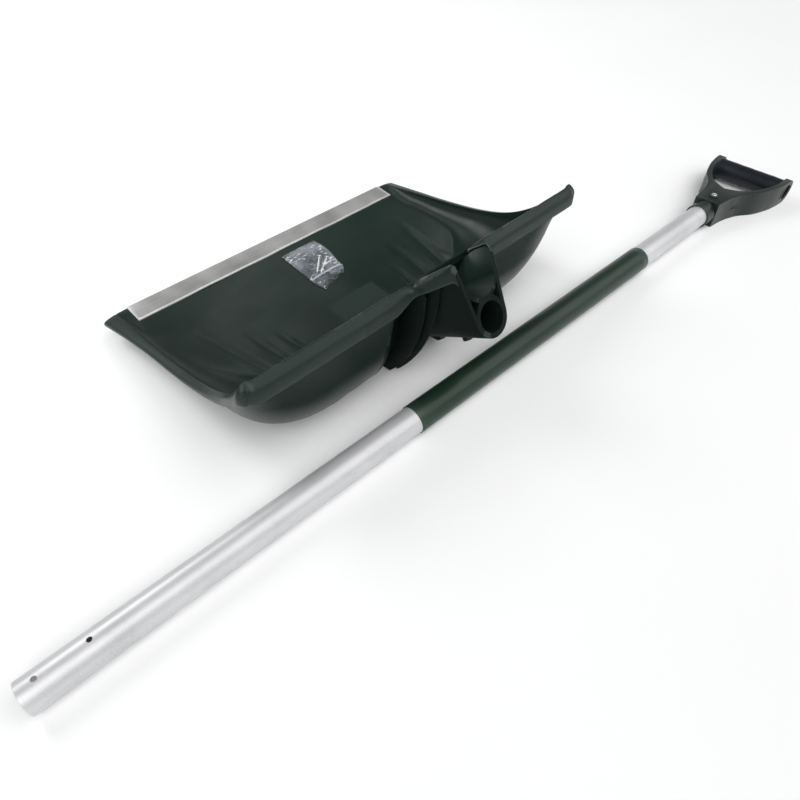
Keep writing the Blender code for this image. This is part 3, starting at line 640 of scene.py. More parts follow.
def to_socket(back, up):
    """A place in the socket's own terms: depth from its mouth along the bore, and rise above the bore."""
    away = SOCKET_MOUTH[0] - back
    above = up - SOCKET_MOUTH[1]
    return (
        away * cos(SOCKET_SLOPE) - above * sin(SOCKET_SLOPE),
        away * sin(SOCKET_SLOPE) + above * cos(SOCKET_SLOPE),
    )


def socket_point(across, depth, rise):
    back = SOCKET_MOUTH[0] - depth * cos(SOCKET_SLOPE) - rise * sin(SOCKET_SLOPE)
    up = SOCKET_MOUTH[1] - depth * sin(SOCKET_SLOPE) + rise * cos(SOCKET_SLOPE)
    return scoop_point(across, back, up)


def socket_way(across, depth, rise):
    return socket_point(across, depth, rise) - socket_point(0, 0, 0)


def floor_height(back):
    share = min(back / HEEL_BACK, 1.0)
    return FLOOR_HEIGHT + (FRONT_HEIGHT - FLOOR_HEIGHT) * (1 - share) ** FLOOR_CURVE


def centre_section(share):
    """The pan's middle line, as (back, up): floor, round heel and rear wall."""
    heel_top = FLOOR_HEIGHT + HEEL_RADIUS
    if share <= HEEL_SHARE:
        back = HEEL_BACK * share / HEEL_SHARE
        return back, floor_height(back)
    if share <= REAR_SHARE:
        angle = pi / 2 * (share - HEEL_SHARE) / (REAR_SHARE - HEEL_SHARE)
        return HEEL_BACK + HEEL_RADIUS * sin(angle), heel_top - HEEL_RADIUS * cos(angle)
    climb = (share - REAR_SHARE) / (1 - REAR_SHARE)
    return HEEL_BACK + HEEL_RADIUS + REAR_LEAN * climb, heel_top + (RIM_HEIGHT - heel_top) * climb


def side_rim(share):
    """The side rim at a row's share: half width, back and up."""
    back = smooth_curve(SIDE_RIM_STATIONS, share)
    along = back / SIDE_RIM_LENGTH
    up = SIDE_RIM_FRONT + SIDE_RIM_RISE * along + EAR_RISE * along**EAR_POWER
    return smooth_curve(RIM_HALF, back), back, up


def press_middle(share):
    climb = min(max((share - HEEL_SHARE) / (1 - HEEL_SHARE), 0.0), 1.0)
    return PRESS_HALF_HEEL + (PRESS_HALF_RIM - PRESS_HALF_HEEL) * climb


def press_in(share, across):
    """How far the heel is pressed inwards beside the socket, and in which direction (back, up)."""
    if share <= HEEL_SHARE:
        return 0.0, (0.0, 1.0)
    angle = min((share - HEEL_SHARE) / (REAR_SHARE - HEEL_SHARE), 1.0) * pi / 2
    fade = smooth_step(*PRESS_STARTS, share) * (1 - smooth_step(*PRESS_ENDS, share))
    middle = press_middle(share)
    inside = 1 - smooth_step(middle - PRESS_EDGE, middle + PRESS_EDGE, across)
    return PRESS_DEPTH * fade * inside, (-sin(angle), cos(angle))


def flute_depth(across, back):
    """How deep the floor's flutes are at a place; each starts at a point and widens towards the rear."""
    depth = 0.0
    for (tip_across, tip_back), (end_across, end_back), half, deepest in FLUTES:
        along = (back - tip_back) / (end_back - tip_back)
        if not 0.0 < along < 1 + FLUTE_RUN_OUT:
            continue
        middle = tip_across + (end_across - tip_across) * along
        width = half * (FLUTE_TIP_WIDTH + (1 - FLUTE_TIP_WIDTH) * min(along, 1.0))
        off = (across - middle) / width
        if -1 < off < 1:
            steep = 1 - (off * off + FLUTE_ROUNDING) ** 0.5
            fade = 1 - smooth_step(1.0, 1.0 + FLUTE_RUN_OUT, along)
            depth += deepest * min(along * 1.2, 1.0) * steep * fade
    return depth


def pan_surface(column, row):
    """Inner surface of the pan at a signed column and a row, without the flange."""
    share = row / PAN_ROWS
    back, up = centre_section(share)
    half, rim_back, rim_up = side_rim(share)
    radius = smooth_curve(CORNER_RADII, share)
    side = abs(column)
    floor_lift = smooth_curve(FLOOR_LIFT, share)
    if side <= FLOOR_COLUMNS:
        middle = press_middle(share)
        stations = (
            (0, 0.0),
            (CENTRE_COLUMNS, middle - PRESS_EDGE),
            (CENTRE_COLUMNS + STEP_COLUMNS, middle + PRESS_EDGE),
            (FLOOR_COLUMNS, half - radius),
        )
        across = interpolate(stations, side)
        lift = floor_lift * (across / (half - radius)) ** 4
        depth, inward = press_in(share, across)
    else:
        angle = pi / 2 * (side - FLOOR_COLUMNS) / CORNER_COLUMNS
        across = half - radius + radius * sin(angle)
        lift = floor_lift + (1 - floor_lift) * (1 - cos(angle))
        depth, inward = 0.0, (0.0, 0.0)
    back = back + (rim_back - back) * lift + depth * inward[0]
    up = up + (rim_up - up) * lift + depth * inward[1]
    return (across if column > 0 else -across), back, up


def round_corner(across, back):
    """Rounds the pan's two rear corners, seen from above."""
    side = abs(across) - (OUTER_HALF[-1][1] - CORNER_PLAN_RADIUS)
    rear = back - (HEEL_BACK + HEEL_RADIUS + REAR_LEAN + REAR_FLANGE - CORNER_PLAN_RADIUS)
    if side <= 0 or rear <= 0:
        return across, back
    shrink = max(side, rear) / hypot(side, rear) - 1
    return across + (side * shrink if across > 0 else -side * shrink), back + rear * shrink


def make_pan():
    floor_steps = FLOOR_COLUMNS * FINE
    corner_steps = CORNER_COLUMNS * FINE
    rim_column = floor_steps + corner_steps
    flange = len(FLANGE_PROFILE) - 1
    rows = PAN_ROWS * FINE

    def place(i, j):
        column = i - rim_column - flange
        side_steps = max(abs(column) - rim_column, 0)
        rear_steps = max(j - rows, 0)
        inner = max(min(column, rim_column), -rim_column)
        row = min(j, rows)
        across, back, up = pan_surface(inner / FINE, row / FINE)
        sign = 1 if column > 0 else -1
        if side_steps == rear_steps == 0:
            up -= flute_depth(abs(across), back) * (1 - smooth_step(0.05, 0.07, up))
            uneven = noise.noise(Vector((across * UNEVEN_ACROSS, back * UNEVEN_ALONG, 4.0)))
            up += UNEVEN_HEIGHT * uneven * smooth_step(STRIP_TOP_WIDTH + 0.004, 0.08, back)
            return scoop_point(*round_corner(across, back), up)
        fall = FLANGE_PROFILE[max(side_steps, rear_steps)][1]
        half, rim_back, _ = side_rim(row / rows)
        drop = smooth_curve(FLANGE_DROPS, min(back, SIDE_RIM_LENGTH))
        across += sign * FLANGE_PROFILE[side_steps][0] * (smooth_curve(OUTER_HALF, rim_back) - half)
        beside = smooth_step(*BAND_COVERS, abs(across))
        width = FLANGE_UNDER_BAND + (REAR_FLANGE - FLANGE_UNDER_BAND) * beside
        back += FLANGE_PROFILE[rear_steps][0] * width
        return scoop_point(*round_corner(across, back), up - drop * fall)

    bm = grid_bmesh(2 * (rim_column + flange), rows + flange, place)
    bmesh.ops.remove_doubles(bm, verts=bm.verts, dist=0.00001)
    bmesh.ops.reverse_faces(bm, faces=bm.faces)
    made = link("scoop_pan", mesh_from(bm, "scoop_pan", 180), SCOOP_MATRIX)
    thicken(made, WALL, even=True)
    return apply_all(made, 50)


def shoulder(depth):
    """Half width and rise of the socket's top edge at a depth; its rear corner is rounded."""
    along = depth / SHOULDER_LENGTH
    short = max(SHOULDER_CORNER - max(depth, 0.0), 0.0)
    rounding = SHOULDER_CORNER - (SHOULDER_CORNER**2 - short**2) ** 0.5
    return SHOULDER_HALF + SHOULDER_FLARE * along, SHOULDER_RISE - SHOULDER_FALL * along - rounding


def arc_section(radius, rise, edge, arc_steps):
    """A U shape: an arc centred at the rise, with straight sides up to the edge."""
    half, top = edge
    above = top - rise
    tangent = atan2(above, half) - acos(min(radius / hypot(half, above), 1.0))
    points = [(-half, top)]
    for step in range(arc_steps + 1):
        angle = pi - tangent + (pi + 2 * tangent) * step / arc_steps
        points.append((radius * cos(angle), rise + radius * sin(angle)))
    return points + [(half, top)]


def hull_section(depth):
    """The hull's outline at a depth, with the trough in its top; its top edges sink under the bands."""
    half, top = shoulder(depth)
    covered = smooth_step(*BAND_STARTS, depth)
    inner_top = top - HULL_SINK_INNER * covered - HULL_SINK_FRONT * smooth_step(0.030, 0.050, depth)
    outside = arc_section(HULL_RADIUS, 0.0, (half, top - HULL_SINK_OUTER * covered), 47)
    inside = arc_section(TROUGH_RADIUS, TROUGH_RISE, (half - HULL_WALL, inner_top), 41)
    return outside + inside[::-1]


def void_section(side, depth):
    spread = 0.2 * SHOULDER_FLARE * depth / SHOULDER_LENGTH
    return [(side * (across + spread * rise / 0.03), rise) for across, rise in SIDE_VOID]


def lofted(name, section, start, end, rows):
    """A closed solid along the bore whose section is section(depth)."""

    def place(i, j):
        depth = start + (end - start) * (j / rows) ** 1.7
        return socket_point(section(depth)[i][0], depth, section(depth)[i][1])

    bm = grid_bmesh(len(section(start)), rows, place, closed=True)
    close_ends(bm)
    return link(name, mesh_from(bm, name), SCOOP_MATRIX)


def pan_inside_tool():
    """Everything above the middle of the pan's wall, to trim what is joined to the pan from outside."""
    half = FLOOR_COLUMNS - 3
    fine = 2

    def place(i, j):
        across, back, up = pan_surface((i - half * fine) / fine, j / fine)
        depth, rise = to_socket(back, up)
        return socket_point(across, depth, rise - WALL * 0.85)

    bm = grid_bmesh(2 * half * fine, PAN_ROWS * fine, place)
    lifted = bmesh.ops.extrude_face_region(bm, geom=bm.faces[:])
    raised = [item for item in lifted["geom"] if isinstance(item, bmesh.types.BMVert)]
    bmesh.ops.translate(bm, verts=raised, vec=socket_way(0, 0, 0.2))
    bmesh.ops.recalc_face_normals(bm, faces=bm.faces)
    return link("pan_inside", mesh_from(bm, "pan_inside"), SCOOP_MATRIX)


def socket_tool(name, radius, length, start, way, segments=40):
    """A cylinder that runs from the start, in the socket's own terms, a length along the way."""
    turn = socket_way(*way).to_track_quat("Z", "Y").to_matrix().to_4x4()
    place_it = SCOOP_MATRIX @ Matrix.Translation(socket_point(*start)) @ turn
    return link(name, cylinder(name, radius, length, segments), place_it)


def across_bore(name, radius, depth, top, bottom):
    return socket_tool(name, radius, top - bottom, (0, depth, bottom), (0, 0, 1))


def make_socket():
    """Hull with its trough, bosses and bore, trimmed inside the pan's wall."""
    hull = lofted("scoop_socket", hull_section, 0.0, HULL_LENGTH, 32)
    tools = []
    for index, depth in enumerate(BOSS_DEPTHS):
        cut(hull, tools, across_bore(f"boss_{index}", BOSS_RADIUS, depth, -0.018, -BOSS_REACH), "UNION")
    cut(hull, tools, pan_inside_tool())
    cut(hull, tools, socket_tool("bore", BORE_RADIUS, BORE_DEPTH + 0.01, (0, -0.01, 0), (0, 1, 0), 96))
    for side in (-1, 1):
        name = f"void_{side + 1}"
        cut(hull, tools, lofted(name, lambda depth, s=side: void_section(s, depth), -0.006, VOID_DEPTH, 6))
    for index, depth in enumerate(BOSS_DEPTHS):
        cut(hull, tools, across_bore(f"boss_hole_{index}", SCREW_HOLE_RADIUS, depth, -0.010, -0.040))
    return apply_all(hull, 28, tools)


def second_finish(made, finish, chosen):
    """Gives the faces that chosen(centre, normal) picks another finish; here it is always the darker copy of
    the green that paints shade.
    """
    made.data.materials.append(finish)
    index = len(made.data.materials) - 1
    for face in made.data.polygons:
        if chosen(face.center, face.normal):
            face.material_index = index
    return made


# Faces that get painted shade: the inside of the bore and the hull's outer sides below its top edge.
def painted_shade_on_hull(centre, normal):
    facing_rear = normal.dot(socket_way(0, -1, 0).normalized())
    depth, rise = to_socket(-centre.y, centre.z)
    inside_bore = hypot(centre.x, rise) < BORE_RADIUS + 0.0004
    below_edge = rise < shoulder(depth)[1] - 0.008
    return inside_bore or (facing_rear < 0.7 and normal.x * centre.x > 0.0012 and below_edge)


# Faces that get painted shade: the outer faces of the pressed recess beside the socket.
def recess(centre, normal):
    climb = centre.z / RIM_HEIGHT
    half = PRESS_HALF_HEEL + 0.003 + (PRESS_HALF_RIM - PRESS_HALF_HEEL) * climb
    outward = -normal.y > 0.3 or normal.z < -0.3
    return abs(centre.x) < half and -centre.y > 0.262 and outward and centre.z < RIM_HEIGHT - 0.006


def make_fins():
    made = []
    for index, (across, rear_edge, front_edge) in enumerate(FINS):
        outline = bezier(*rear_edge, 28) + list(FIN_FOOT) + list(front_edge)
        for side in (-1, 1):
            name = f"scoop_fin_{2 * index + (side > 0)}"
            mesh = plate_mesh(name, outline, FIN_THICKNESS / 2)
            mesh.transform(Matrix.Translation((side * across, 0, 0)) @ UPRIGHT)
            fin = link(name, mesh, SCOOP_MATRIX)
            inside = pan_inside_tool()
            add_boolean(fin, inside, "DIFFERENCE")
            apply_all(fin, 30, [inside])
            bevel(fin, 0.0004, 2, 50)
            made.append(apply_all(fin, 30))
    return made


def make_band(side):
    """The rear flange's run from the rim up to the end of the socket's shoulder, one smooth S."""
    rim_drop = smooth_curve(FLANGE_DROPS, SIDE_RIM_LENGTH)
    rear = HEEL_BACK + HEEL_RADIUS + REAR_LEAN
    stations = []
    for across, proud in ((0.116, -0.0008), (0.102, 0.0003), (0.086, 0.0005), (0.070, 0.0006)):
        ridge = scoop_point(across, rear, RIM_HEIGHT + proud)
        stations.append((*ridge, 0.0, -REAR_FLANGE - 0.0002, 0.0, 0.0, 0.0, -rim_drop))
    downward = socket_way(0, 0, -1)
    for depth in (0.044, 0.030, 0.016, 0.007, 0.003, 0.0002):
        half, top = shoulder(depth)
        along = depth / SHOULDER_LENGTH
        width = BAND_WIDTHS[0] + (BAND_WIDTHS[1] - BAND_WIDTHS[0]) * along**0.8
        drop = BAND_DROPS[0] + (BAND_DROPS[1] - BAND_DROPS[0]) * along
        ridge = socket_point(half - BAND_INSET, depth, top + GAP)
        stations.append((*ridge, width + BAND_INSET, 0.0, 0.0, *(downward * drop)))
    line = smooth_line(stations, 10)
    profile = smooth_line(FLANGE_PROFILE, 2)

    def place(i, j):
        ridge, out, down = Vector(line[j][:3]), Vector(line[j][3:6]), Vector(line[j][6:])
        reach, fall = profile[i]
        point = ridge + out * reach + down * fall
        return Vector((side * point.x, point.y, point.z))

    bm = grid_bmesh(len(profile) - 1, len(line) - 1, place)
    if side > 0:
        bmesh.ops.reverse_faces(bm, faces=bm.faces)
    name = "scoop_band_right" if side > 0 else "scoop_band_left"
    made = link(name, mesh_from(bm, name, 180), SCOOP_MATRIX)
    thicken(made, WALL * 0.8)
    return apply_all(made, 50)


# -------- wear strip


def make_wear_strip():
    """Folded channel; its upper leaf ends in a small turned lip."""
    low = -WALL - GAP
    front = -GAP - STRIP_METAL
    top = GAP + STRIP_METAL
    rear = front + STRIP_TOP_WIDTH
    bend = 0.0014
    outline = []
    for step in range(9):
        angle = pi - pi / 2 * step / 8
        outline.append((front + bend + bend * cos(angle), top - bend + bend * sin(angle)))
    outline += [(rear - 0.0042, top), (rear - 0.0034, top + 0.0004), (rear - 0.0018, top + 0.0006)]
    outline += [(rear - 0.0004, top + 0.0003), (rear, top - 0.0004)]
    outline += [(rear, GAP + 0.0001), (-GAP, GAP + 0.0001)]
    under = front + STRIP_UNDER_WIDTH
    bottom = low - STRIP_METAL
    outline += [(-GAP, low), (under, low), (under, bottom)]
    for step in range(9):
        angle = -pi / 2 - pi / 2 * step / 8
        outline.append((front + bend + bend * cos(angle), bottom + bend + bend * sin(angle)))
    slices = 120

    def place(i, j):
        across = STRIP_LENGTH * (j / slices - 0.5)
        back, up = outline[i]
        wave = 0.00025 * sin(across * 41.0) + 0.00015 * sin(across * 97.0 + 1.0)
        if back > 0.004 and up > 0:
            up += wave * smooth_step(0.004, 0.03, back)
        return Vector((across, -back, up))

    bm = grid_bmesh(len(outline), slices, place, closed=True)
    close_ends(bm)
    slope = atan2(FRONT_HEIGHT - floor_height(STRIP_TOP_WIDTH), STRIP_TOP_WIDTH)
    place_it = SCOOP_MATRIX @ Matrix.Translation((0, 0, FRONT_HEIGHT)) @ Matrix.Rotation(slope, 4, "X")
    return link("strip_channel", mesh_from(bm, "strip_channel", 40), place_it)


# -------- handle


TILT = asin((GRIP_HALF_HEIGHT - TUBE_RADIUS) / (YOKE_START - 0.008))
HANDLE_MATRIX = Matrix.Translation(HANDLE_END + Vector((0, 0, TUBE_RADIUS))) @ Matrix.Rotation(-TILT, 4, "Y")
ALONG = Matrix.Rotation(pi / 2, 4, "Y")


def on_handle(name, mesh, place, turn=ALONG):
    return link(name, mesh, HANDLE_MATRIX @ Matrix.Translation((place, 0, 0)) @ turn)


def upright_tool(name, radius, place, low, high):
    return on_handle(name, cylinder(name, radius, high - low, 40), place, Matrix.Translation((0, 0, low)))


def make_tube():
    inner = TUBE_RADIUS - TUBE_WALL
    edge = 0.0003
    profile = [(TUBE_RADIUS, TUBE_LENGTH)]
    profile += [(TUBE_RADIUS, TUBE_LENGTH * (1 - k / 24)) for k in range(1, 24)]
    profile += [(TUBE_RADIUS, edge), (TUBE_RADIUS - edge, 0), (inner + edge, 0), (inner, edge)]
    profile += [(inner, TUBE_LENGTH)]
    tube = on_handle("tube_metal", mesh_from(revolve(profile, 96), "tube_metal"), 0)
    tools = []
    for index, place in enumerate(TUBE_HOLES):
        cut(tube, tools, upright_tool(f"hole_{index}", TUBE_HOLE_RADIUS, place, 0, TOOL_REACH))
    cut(tube, tools, upright_tool("hole_grip", GRIP_SCREW_RADIUS + GAP, GRIP_SCREW_PLACE, 0, TOOL_REACH))
    return apply_all(tube, 40, tools)


def make_sleeve():
    length = SLEEVE_END - SLEEVE_START
    inner = TUBE_RADIUS + 0.00005
    edge = 0.0004
    profile = [(SLEEVE_RADIUS - edge, length), (SLEEVE_RADIUS, length - edge)]
    profile += [(SLEEVE_RADIUS, length * (1 - k / 30)) for k in range(1, 30)]
    profile += [(SLEEVE_RADIUS, edge), (SLEEVE_RADIUS - edge, 0), (inner, 0), (inner, length)]
    return on_handle("sleeve_skin", mesh_from(revolve(profile, 96), "sleeve_skin", 50), SLEEVE_START)


def yoke_outline():
    outer = smooth_line(
        [(YOKE_START - 0.008, 0.0192), (1.084, 0.0225), (1.113, 0.0315), (1.137, 0.0465), (1.166, 0.0565)]
        + [(1.190, 0.0610), (BAR_PLACE, GRIP_HALF)],
        8,
    )
    inner = smooth_line(
        [(BAR_PLACE, HORN_INNER), (1.188, 0.0518), (1.165, 0.0480), (1.141, 0.0390)]
        + [(1.120, 0.0240), (1.107, 0.0)],
        8,
    )
    end = BAR_PLACE + GRIP_HALF_HEIGHT
    right = outer + [(end, GRIP_HALF), (end, HORN_INNER)] + inner
    return right + [(place, -side) for place, side in reversed(right[:-1])]


def cross_tool(name, radius, half):
    turn = Matrix.Translation((0, half, 0)) @ Matrix.Rotation(pi / 2, 4, "X")
    return on_handle(name, cylinder(name, radius, 2 * half, 96), BAR_PLACE, turn)


def box_tool(name, size, centre, turn=0.0):
    bm = bmesh.new()
    bmesh.ops.create_cube(bm, size=1.0, matrix=Matrix.Diagonal((*size, 1.0)))
    place_it = HANDLE_MATRIX @ Matrix.Translation(centre) @ Matrix.Rotation(turn, 4, "Z")
    return link(name, mesh_from(bm, name), place_it)


def make_yoke():
    yoke = link("grip_moulding", plate_mesh("grip_moulding", yoke_outline(), GRIP_HALF_HEIGHT), HANDLE_MATRIX)
    tools = []
    round_end = cross_tool("horn_round", GRIP_HALF_HEIGHT, 0.08)
    block = box_tool("arm_block", (0.2, 0.16, 0.05), (BAR_PLACE - 0.1, 0, 0))
    add_boolean(round_end, block, "UNION")
    apply_all(round_end, 30, [block])
    cut(yoke, tools, round_end, "INTERSECT")
    apply_all(yoke, 30, tools)
    tools.clear()
    bevel(yoke, 0.0026, 4, 50)
    apply_all(yoke, 30)
    length = YOKE_START + 0.012 - COLLAR_START
    edge = 0.0008
    profile = [(0, length), (COLLAR_RADIUS, length), (COLLAR_RADIUS, edge), (COLLAR_RADIUS - edge, 0), (0, 0)]
    collar = on_handle("collar", mesh_from(revolve(profile, 96, False), "collar"), COLLAR_START)
    cut(yoke, tools, collar, "UNION")
    boss = upright_tool("grip_boss", GRIP_BOSS_RADIUS, GRIP_SCREW_PLACE, 0.012, GRIP_BOSS_TOP)
    cut(yoke, tools, boss, "UNION")
    tube_space = cylinder("tube_space", TUBE_RADIUS + 0.0002, TUBE_LENGTH, 96)
    cut(yoke, tools, on_handle("tube_space", tube_space, GAP))
    cut(yoke, tools, cross_tool("bar_space", BAR_RADIUS + GAP, 0.08))
    cut(yoke, tools, upright_tool("screw_space", GRIP_SCREW_RADIUS + GAP, GRIP_SCREW_PLACE, 0, TOOL_REACH))
    for side in (-1, 1):
        centre = (POCKET_PLACE, side * POCKET_SIDE, 0)
        cut(yoke, tools, box_tool(f"pocket_{side + 1}", POCKET_SIZE, centre, side * POCKET_TURN))
    return apply_all(yoke, 30, tools)


def make_bar():
    edge = 0.0006
    profile = [(BAR_RADIUS - edge, BAR_HALF), (BAR_RADIUS, BAR_HALF - edge)]
    profile += [(BAR_RADIUS + 0.0001 * sin(k * 0.9), BAR_HALF * (1 - k / 20)) for k in range(1, 40)]
    profile += [(BAR_RADIUS, -BAR_HALF + edge), (BAR_RADIUS - edge, -BAR_HALF)]
    profile += [(BAR_BORE + edge, -BAR_HALF), (BAR_BORE, -BAR_HALF + edge), (BAR_BORE, -BAR_HALF + 0.016)]
    profile += [(0.0, -BAR_HALF + 0.0165), (0.0, BAR_HALF - 0.0165), (BAR_BORE, BAR_HALF - 0.016)]
    profile += [(BAR_BORE, BAR_HALF - edge), (BAR_BORE + edge, BAR_HALF)]
    mesh = mesh_from(revolve(profile, 96), "bar_tube", 40)
    return on_handle("bar_tube", mesh, BAR_PLACE, Matrix.Rotation(pi / 2, 4, "X"))


# -------- screws and bag


def screw_mesh(name, head_radius, head_height, shank_radius, length, pitch=0.0015):
    """Pan head with a cross recess above the origin, threaded shank and gimlet point below it."""
    segments = 48
    core = shank_radius * 0.74
    rows = []
    head_steps = 10
    for k in range(head_steps + 1):
        share = k / head_steps
        rows.append((head_radius * 0.82 * share, head_height * (1 - 0.16 * share**2), "face"))
    for k in range(1, 6):
        angle = pi / 2 * k / 5
        rows.append(
            (head_radius * (0.82 + 0.18 * sin(angle)), head_height * (0.84 - 0.44 * (1 - cos(angle))), "side")
        )
    rows += [(head_radius, head_height * 0.12, "side"), (head_radius * 0.95, 0.0, "side")]
    rows += [(core, 0.0, "side")]
    thread_rows = 150
    for k in range(1, thread_rows + 1):
        rows.append((core, -length * k / thread_rows, "thread"))

    def place(i, j):
        radius, height, kind = rows[j]
        angle = 2 * pi * i / segments
        if kind == "face":
            x, y = abs(radius * cos(angle)), abs(radius * sin(angle))
            arm = max(0.0, 1 - min(x, y) / (head_radius * 0.16))
            reach = 1 - smooth_step(head_radius * 0.42, head_radius * 0.56, max(x, y))
            height -= head_height * 0.62 * min(arm * 2.2, 1.0) * reach
        if kind == "thread":
            taper = 1 - smooth_step(length * 0.82, length, -height)
            turn = (-height / pitch + angle / (2 * pi)) % 1.0
            ridge = max(0.0, 1 - abs(turn - 0.5) * 4.4)
            started = smooth_step(0.001, 0.003, -height)
            thread = (shank_radius - core) * ridge * started * min(taper * 1.4, 1.0)
            radius = max(core * taper + thread, 0.00008)
        return Vector((radius * cos(angle), radius * sin(angle), height))

    bm = grid_bmesh(segments, len(rows) - 1, place, closed=True)
    bmesh.ops.remove_doubles(bm, verts=bm.verts, dist=2e-6)
    close_ends(bm)
    return mesh_from(bm, name, 32)


BAG_FRONT = floor_height(BAG_MIDDLE[1] - BAG_HALF_LENGTH)
BAG_REAR = floor_height(BAG_MIDDLE[1] + BAG_HALF_LENGTH)
BAG_SLOPE = atan2(BAG_FRONT - BAG_REAR, 2 * BAG_HALF_LENGTH)
BAG_MATRIX = (
    SCOOP_MATRIX
    @ Matrix.Translation(scoop_point(BAG_MIDDLE[0], BAG_MIDDLE[1], (BAG_FRONT + BAG_REAR) / 2 + BAG_LIFT))
    @ Matrix.Rotation(BAG_SLOPE, 4, "X")
)


def crease(point, seed):
    """Sharp irregular folds, from 0 to 1."""
    shifted = Vector((point[0] + seed, point[1] - seed, seed * 0.37))
    first = 1 - abs(noise.noise(shifted * 45.0)) * 2.4
    second = 1 - abs(noise.noise(shifted * 110.0 + Vector((5, 0, 0)))) * 2.4
    return max(first, 0.0) * 0.65 + max(second, 0.0) * 0.35


def bag_point(across_share, share, upper, proud=0.0):
    """A place on the film: across_share from -1 to 1, share from the front seam to the mouth."""
    side = max(1 - across_share**2, 0.0) ** 0.5
    back = -BAG_HALF_LENGTH + 2 * BAG_HALF_LENGTH * share
    across = BAG_HALF_WIDTH * across_share
    full = smooth_step(0.0, 0.25, share) * (1 - 0.45 * smooth_step(0.60, 0.85, share))
    lumps = crease((across, back), 3.1)
    fold = crease((across * 1.3, back * 0.8), 8.7)
    torn = smooth_step(0.84, 1.0, share)
    height = 0.00015 + 0.0003 * lumps * side
    if upper:
        height = (0.0012 + 0.0072 * full) * side**0.55 + side * 0.0010 * lumps * full
        height += torn * side * (0.0052 * fold + 0.0035 * sin(across_share * 9.0)) + proud
    narrow = 1 - 0.10 * smooth_step(0.35, 0.80, share) - 0.16 * torn
    across = across * narrow - 0.0035 * smooth_step(0.3, 1.0, share)
    across += 0.0011 * noise.noise(Vector((back * 60, 2.0, 0))) * across_share
    back += 0.0045 * torn * (fold - 0.5) - 0.006 * torn * across_share + 0.0010 * (lumps - 0.5)
    return Vector((across, -back, max(height, 0.0001)))


def make_bag():
    """One sheet of film folded round the screws: seamed at the front, its mouth crumpled at the rear."""
    around = 144
    along = 130

    def place(i, j):
        angle = 2 * pi * i / around
        return bag_point(cos(angle), j / along, sin(angle) > 0)

    bm = grid_bmesh(around, along, place, closed=True)
    return link("bag_film", mesh_from(bm, "bag_film", 180), BAG_MATRIX)


def make_zip():
    """The grip seal: two fine ribs across the film near its mouth."""
    steps = 90
    section = ((0.0, -0.0001), (0.0, 0.0004), (0.25, 0.0009), (0.4, 0.0004), (0.6, 0.0004), (0.75, 0.0009))
    section += ((1.0, 0.0004), (1.0, -0.0001))

    def place(i, j):
        width, proud = section[i]
        across_share = -0.985 + 1.97 * j / steps
        return bag_point(across_share, 0.792 + 0.034 * width, True, proud)

    bm = grid_bmesh(len(section), steps, place, closed=True)
    close_ends(bm)
    return link("bag_zip", mesh_from(bm, "bag_zip", 50), BAG_MATRIX)


def make_screws():
    made = []
    for index, ((across, back), heading) in enumerate(FIXING_SCREWS):
        name = f"bagged_screw_{index + 1}"
        mesh = screw_mesh(name, SCREW_HEAD_RADIUS, SCREW_HEAD_HEIGHT, SCREW_RADIUS, SCREW_LENGTH)
        tip = Vector((cos(heading), sin(heading), 0))
        turn = (-tip).to_track_quat("Z", "Y").to_matrix().to_4x4()
        height = SCREW_HEAD_RADIUS + GAP + 0.0002
        place = Matrix.Translation((across - BAG_MIDDLE[0], BAG_MIDDLE[1] - back, height))
        made.append(link(name, mesh, BAG_MATRIX @ place @ turn @ Matrix.Rotation(0.4 + index, 4, "Z")))
    return made


# -------- build


pan = dress(make_pan(), SCOOP_FINISH, "blade", "scoop_plastic", "scoop")
# Painted shade on the pan's pressed recess beside the socket.
second_finish(pan, PAINTED_SHADE_FINISH, recess)
socket = dress(make_socket(), SCOOP_FINISH, "blade", "scoop_plastic", "scoop")
# Painted shade on the socket's bore and outer sides.
second_finish(socket, PAINTED_SHADE_FINISH, painted_shade_on_hull)
for band_side in (-1, 1):
    dress(make_band(band_side), SCOOP_FINISH, "blade", "scoop_plastic", "scoop")
# The fins are painted wholly in shade.
for fin in make_fins():
    dress(fin, PAINTED_SHADE_FINISH, "blade", "scoop_plastic", "scoop")
dress(make_wear_strip(), MILL_FINISH, "blade", "mill_aluminium", "wear_strip")
dress(make_tube(), ANODISED_FINISH, "handle", "anodised_aluminium", "handle_tube")
dress(make_sleeve(), SLEEVE_FINISH, "handle", "sleeve_plastic", "tube_sleeve")
dress(make_yoke(), GRIP_FINISH, "handle", "grip_plastic", "grip_yoke")
dress(make_bar(), BAR_FINISH, "handle", "bar_plastic", "grip_bar")
grip_screw = link(
    "grip_fastener",
    screw_mesh("grip_fastener", GRIP_SCREW_HEAD, 0.0022, GRIP_SCREW_RADIUS, 0.0095, 0.0012),
    HANDLE_MATRIX @ Matrix.Translation((GRIP_SCREW_PLACE, 0, GRIP_BOSS_TOP + GAP)),
)
dress(grip_screw, ZINC_FINISH, "handle", "zinc_steel", "grip_screw")
for index, screw in enumerate(make_screws()):
    dress(screw, ZINC_FINISH, "fixings", "zinc_steel", f"fixing_screw_{index + 1}")
bag = dress(make_bag(), FILM_FINISH, "fixings", "clear_film", "screw_bag")
grip_seal = dress(make_zip(), ZIP_FINISH, "fixings", "clear_film")


# -------- floor, light and camera


CAMERA_PLACE = (-0.4982, -0.4708, 0.5141)
CAMERA_PITCH = radians(47.34)
CAMERA_HEADING = radians(47.06)


def make_floor():
    bm = bmesh.new()
    bmesh.ops.create_grid(bm, x_segments=1, y_segments=1, size=6.0)
    floor = link("studio_floor", mesh_from(bm, "studio_floor"))
    n = Nodes("studio_floor")
    shade = n.mix(n.noise(2.0, 2.0), (0.86, 0.86, 0.86), (0.90, 0.90, 0.90))
    n.finish(shade, n.span(n.noise(5.0, 2.0), 0.3, 0.7, 0.6, 0.7), Specular_IOR_Level=0.15)
    floor.data.materials.append(n.material)


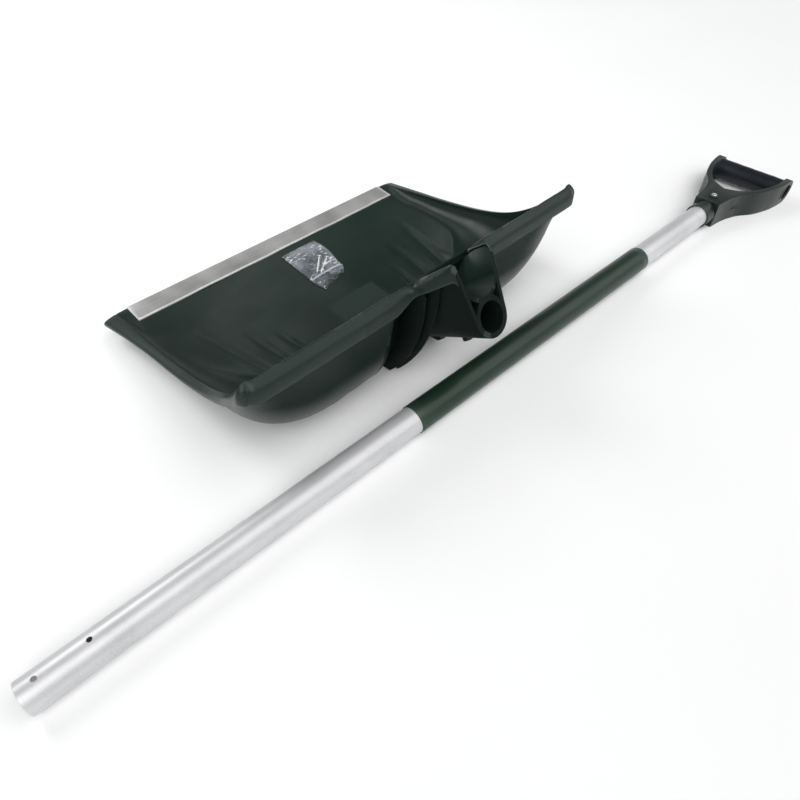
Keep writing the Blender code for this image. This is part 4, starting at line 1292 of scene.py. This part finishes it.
def make_world():
    world = bpy.data.worlds.new("studio")
    bpy.context.scene.world = world
    world.use_nodes = True
    tree = world.node_tree
    back = tree.nodes["Background"]
    place = tree.nodes.new("ShaderNodeTexCoord").outputs["Generated"]
    split = tree.nodes.new("ShaderNodeSeparateXYZ")
    tree.links.new(place, split.inputs[0])
    ramp = tree.nodes.new("ShaderNodeValToRGB")
    tree.links.new(split.outputs["Z"], ramp.inputs["Fac"])
    ramp.color_ramp.elements[0].position = 0.0
    ramp.color_ramp.elements[0].color = (0.85, 0.86, 0.86, 1)
    ramp.color_ramp.elements[1].position = 0.62
    ramp.color_ramp.elements[1].color = (0.10, 0.105, 0.105, 1)
    tree.links.new(ramp.outputs["Color"], back.inputs["Color"])
    back.inputs["Strength"].default_value = 0.85


def light(name, kind, place, aim=(0, 0, 0), **values):
    """A light at place that shines towards aim."""
    data = bpy.data.lights.new(name, kind)
    if kind == "AREA":
        data.shape = "RECTANGLE"
    for key, value in values.items():
        setattr(data, key, value)
    lamp = link(name, data)
    lamp.location = place
    lamp.rotation_euler = (Vector(aim) - Vector(place)).to_track_quat("-Z", "Y").to_euler()


def make_camera():
    level = cos(CAMERA_PITCH)
    forward = Vector((level * cos(CAMERA_HEADING), level * sin(CAMERA_HEADING), -sin(CAMERA_PITCH)))
    data = bpy.data.cameras.new("photo_camera")
    data.lens = 27.0
    data.sensor_width = 36.0
    data.clip_start = 0.01
    camera = link("photo_camera", data)
    camera.location = CAMERA_PLACE
    camera.rotation_euler = forward.to_track_quat("-Z", "Y").to_euler()
    bpy.context.scene.camera = camera


make_floor()
make_world()
light("key", "SUN", (-1.0, -0.9, 1.7), energy=2.0, angle=radians(55))
light("fill", "SUN", (1.1, -1.0, 1.7), energy=1.3, angle=radians(60))
light("glow", "AREA", (0.55, 1.3, 1.5), (0.05, 0.05, 0.0), size=0.6, size_y=0.6, energy=2)
light("streak", "AREA", (-0.7, 1.5, 1.5), (-0.15, 0.05, 0.0), size=0.9, size_y=1.0, energy=15)
make_camera()
bpy.context.scene.view_settings.view_transform = "Standard"
